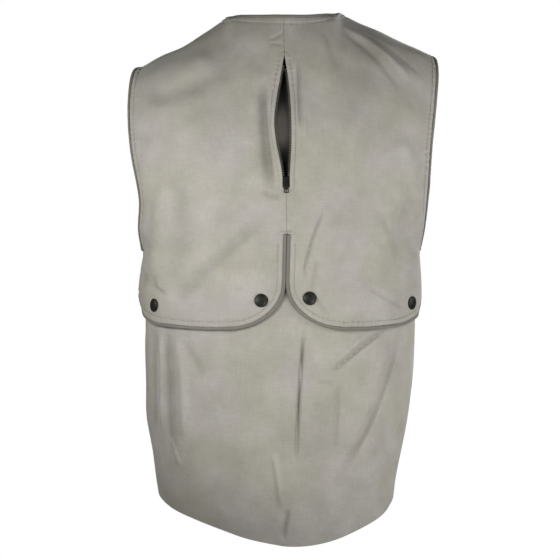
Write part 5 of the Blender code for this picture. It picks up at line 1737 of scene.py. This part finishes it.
def add_lights(scene):
    """Round soft lights that face the vest, unseen by the camera."""
    for row in LIGHTS:
        light = dict(zip(LIGHT_COLUMNS, row, strict=True))
        lamp = bpy.data.lights.new(light["name"], "AREA")
        lamp.shape, lamp.size, lamp.energy = "DISK", light["size"], light["power"]
        obj = bpy.data.objects.new(light["name"], lamp)
        scene.collection.objects.link(obj)
        turn, rise = math.radians(light["turn"]), math.radians(light["rise"])
        way = Vector((math.sin(turn) * math.cos(rise), -math.cos(turn) * math.cos(rise), math.sin(rise)))
        obj.location = Vector(LIGHT_AIM) + way * light["away"]
        obj.rotation_euler = (-way).to_track_quat("-Z", "Y").to_euler()
        obj.visible_camera = False


def white_world():
    """White all round for the camera, and a little even light for the vest."""
    world = bpy.data.worlds.new("White studio")
    world.use_nodes = True
    tree = world.node_tree
    white = (1.0, 1.0, 1.0, 1.0)
    seen = tree.nodes["Background"]
    seen.inputs["Color"].default_value, seen.inputs["Strength"].default_value = white, 1.0
    soft = add_node(tree, "ShaderNodeBackground", {"Color": white, "Strength": AMBIENT})
    ray = add_node(tree, "ShaderNodeLightPath").outputs["Is Camera Ray"]
    links = {"Fac": ray, 1: soft.outputs["Background"], 2: seen.outputs["Background"]}
    mix = add_node(tree, "ShaderNodeMixShader", links=links)
    tree.links.new(mix.outputs["Shader"], tree.nodes["World Output"].inputs["Surface"])
    return world


def add_camera(scene):
    """The camera, level and straight behind the vest."""
    camera = bpy.data.cameras.new("camera")
    camera.lens, camera.sensor_width = CAMERA["lens"], CAMERA["sensor"]
    obj = bpy.data.objects.new("camera", camera)
    scene.collection.objects.link(obj)
    obj.location = CAMERA["place"]
    obj.rotation_euler = (math.pi / 2, 0, 0)
    scene.camera = obj


class VEST_OT_stage(VestOperator, bpy.types.Operator):
    """Adds the floor, the soft lights and the camera"""

    bl_idname = "vest.stage"
    bl_label = "Stage"

    def execute(self, context):
        scene = context.scene
        add_floor()
        add_lights(scene)
        add_camera(scene)
        scene.world = white_world()
        scene.view_settings.view_transform = "Standard"
        return {"FINISHED"}


class VEST_PT_panel(bpy.types.Panel):
    """Sizes, colours and pieces of the vest"""

    bl_idname = "VEST_PT_panel"
    bl_label = "Hunting vest"
    bl_space_type = "VIEW_3D"
    bl_region_type = "UI"
    bl_category = "Vest"

    def draw(self, context):
        for group in (context.scene.vest_sizes, context.scene.vest_colours):
            box = self.layout.box()
            for name in group.__annotations__:
                box.prop(group, name)
        for operator in OPERATORS:
            self.layout.operator(operator.bl_idname)


OPERATORS = (
    VEST_OT_stage, VEST_OT_lining, VEST_OT_pouch, VEST_OT_capes, VEST_OT_fronts, VEST_OT_bindings,
    VEST_OT_stitching, VEST_OT_back_zip, VEST_OT_front_zip, VEST_OT_studs,
)
CLASSES = (VestSizes, VestColours, *OPERATORS, VEST_PT_panel)


def register():
    """Makes the add-on's classes and properties known to Blender."""
    for item in CLASSES:
        bpy.utils.register_class(item)
    bpy.types.Scene.vest_sizes = PointerProperty(type=VestSizes)
    bpy.types.Scene.vest_colours = PointerProperty(type=VestColours)


def unregister():
    """Takes them out again."""
    del bpy.types.Scene.vest_colours
    del bpy.types.Scene.vest_sizes
    for item in reversed(CLASSES):
        bpy.utils.unregister_class(item)


def main():
    """Makes the stage and every piece."""
    register()
    bpy.ops.vest.stage()
    bpy.ops.vest.lining()
    bpy.ops.vest.pouch()
    bpy.ops.vest.capes()
    bpy.ops.vest.fronts()
    bpy.ops.vest.bindings()
    bpy.ops.vest.stitching()
    bpy.ops.vest.back_zip()
    bpy.ops.vest.front_zip()
    bpy.ops.vest.studs()


if __name__ == "__main__":
    main()
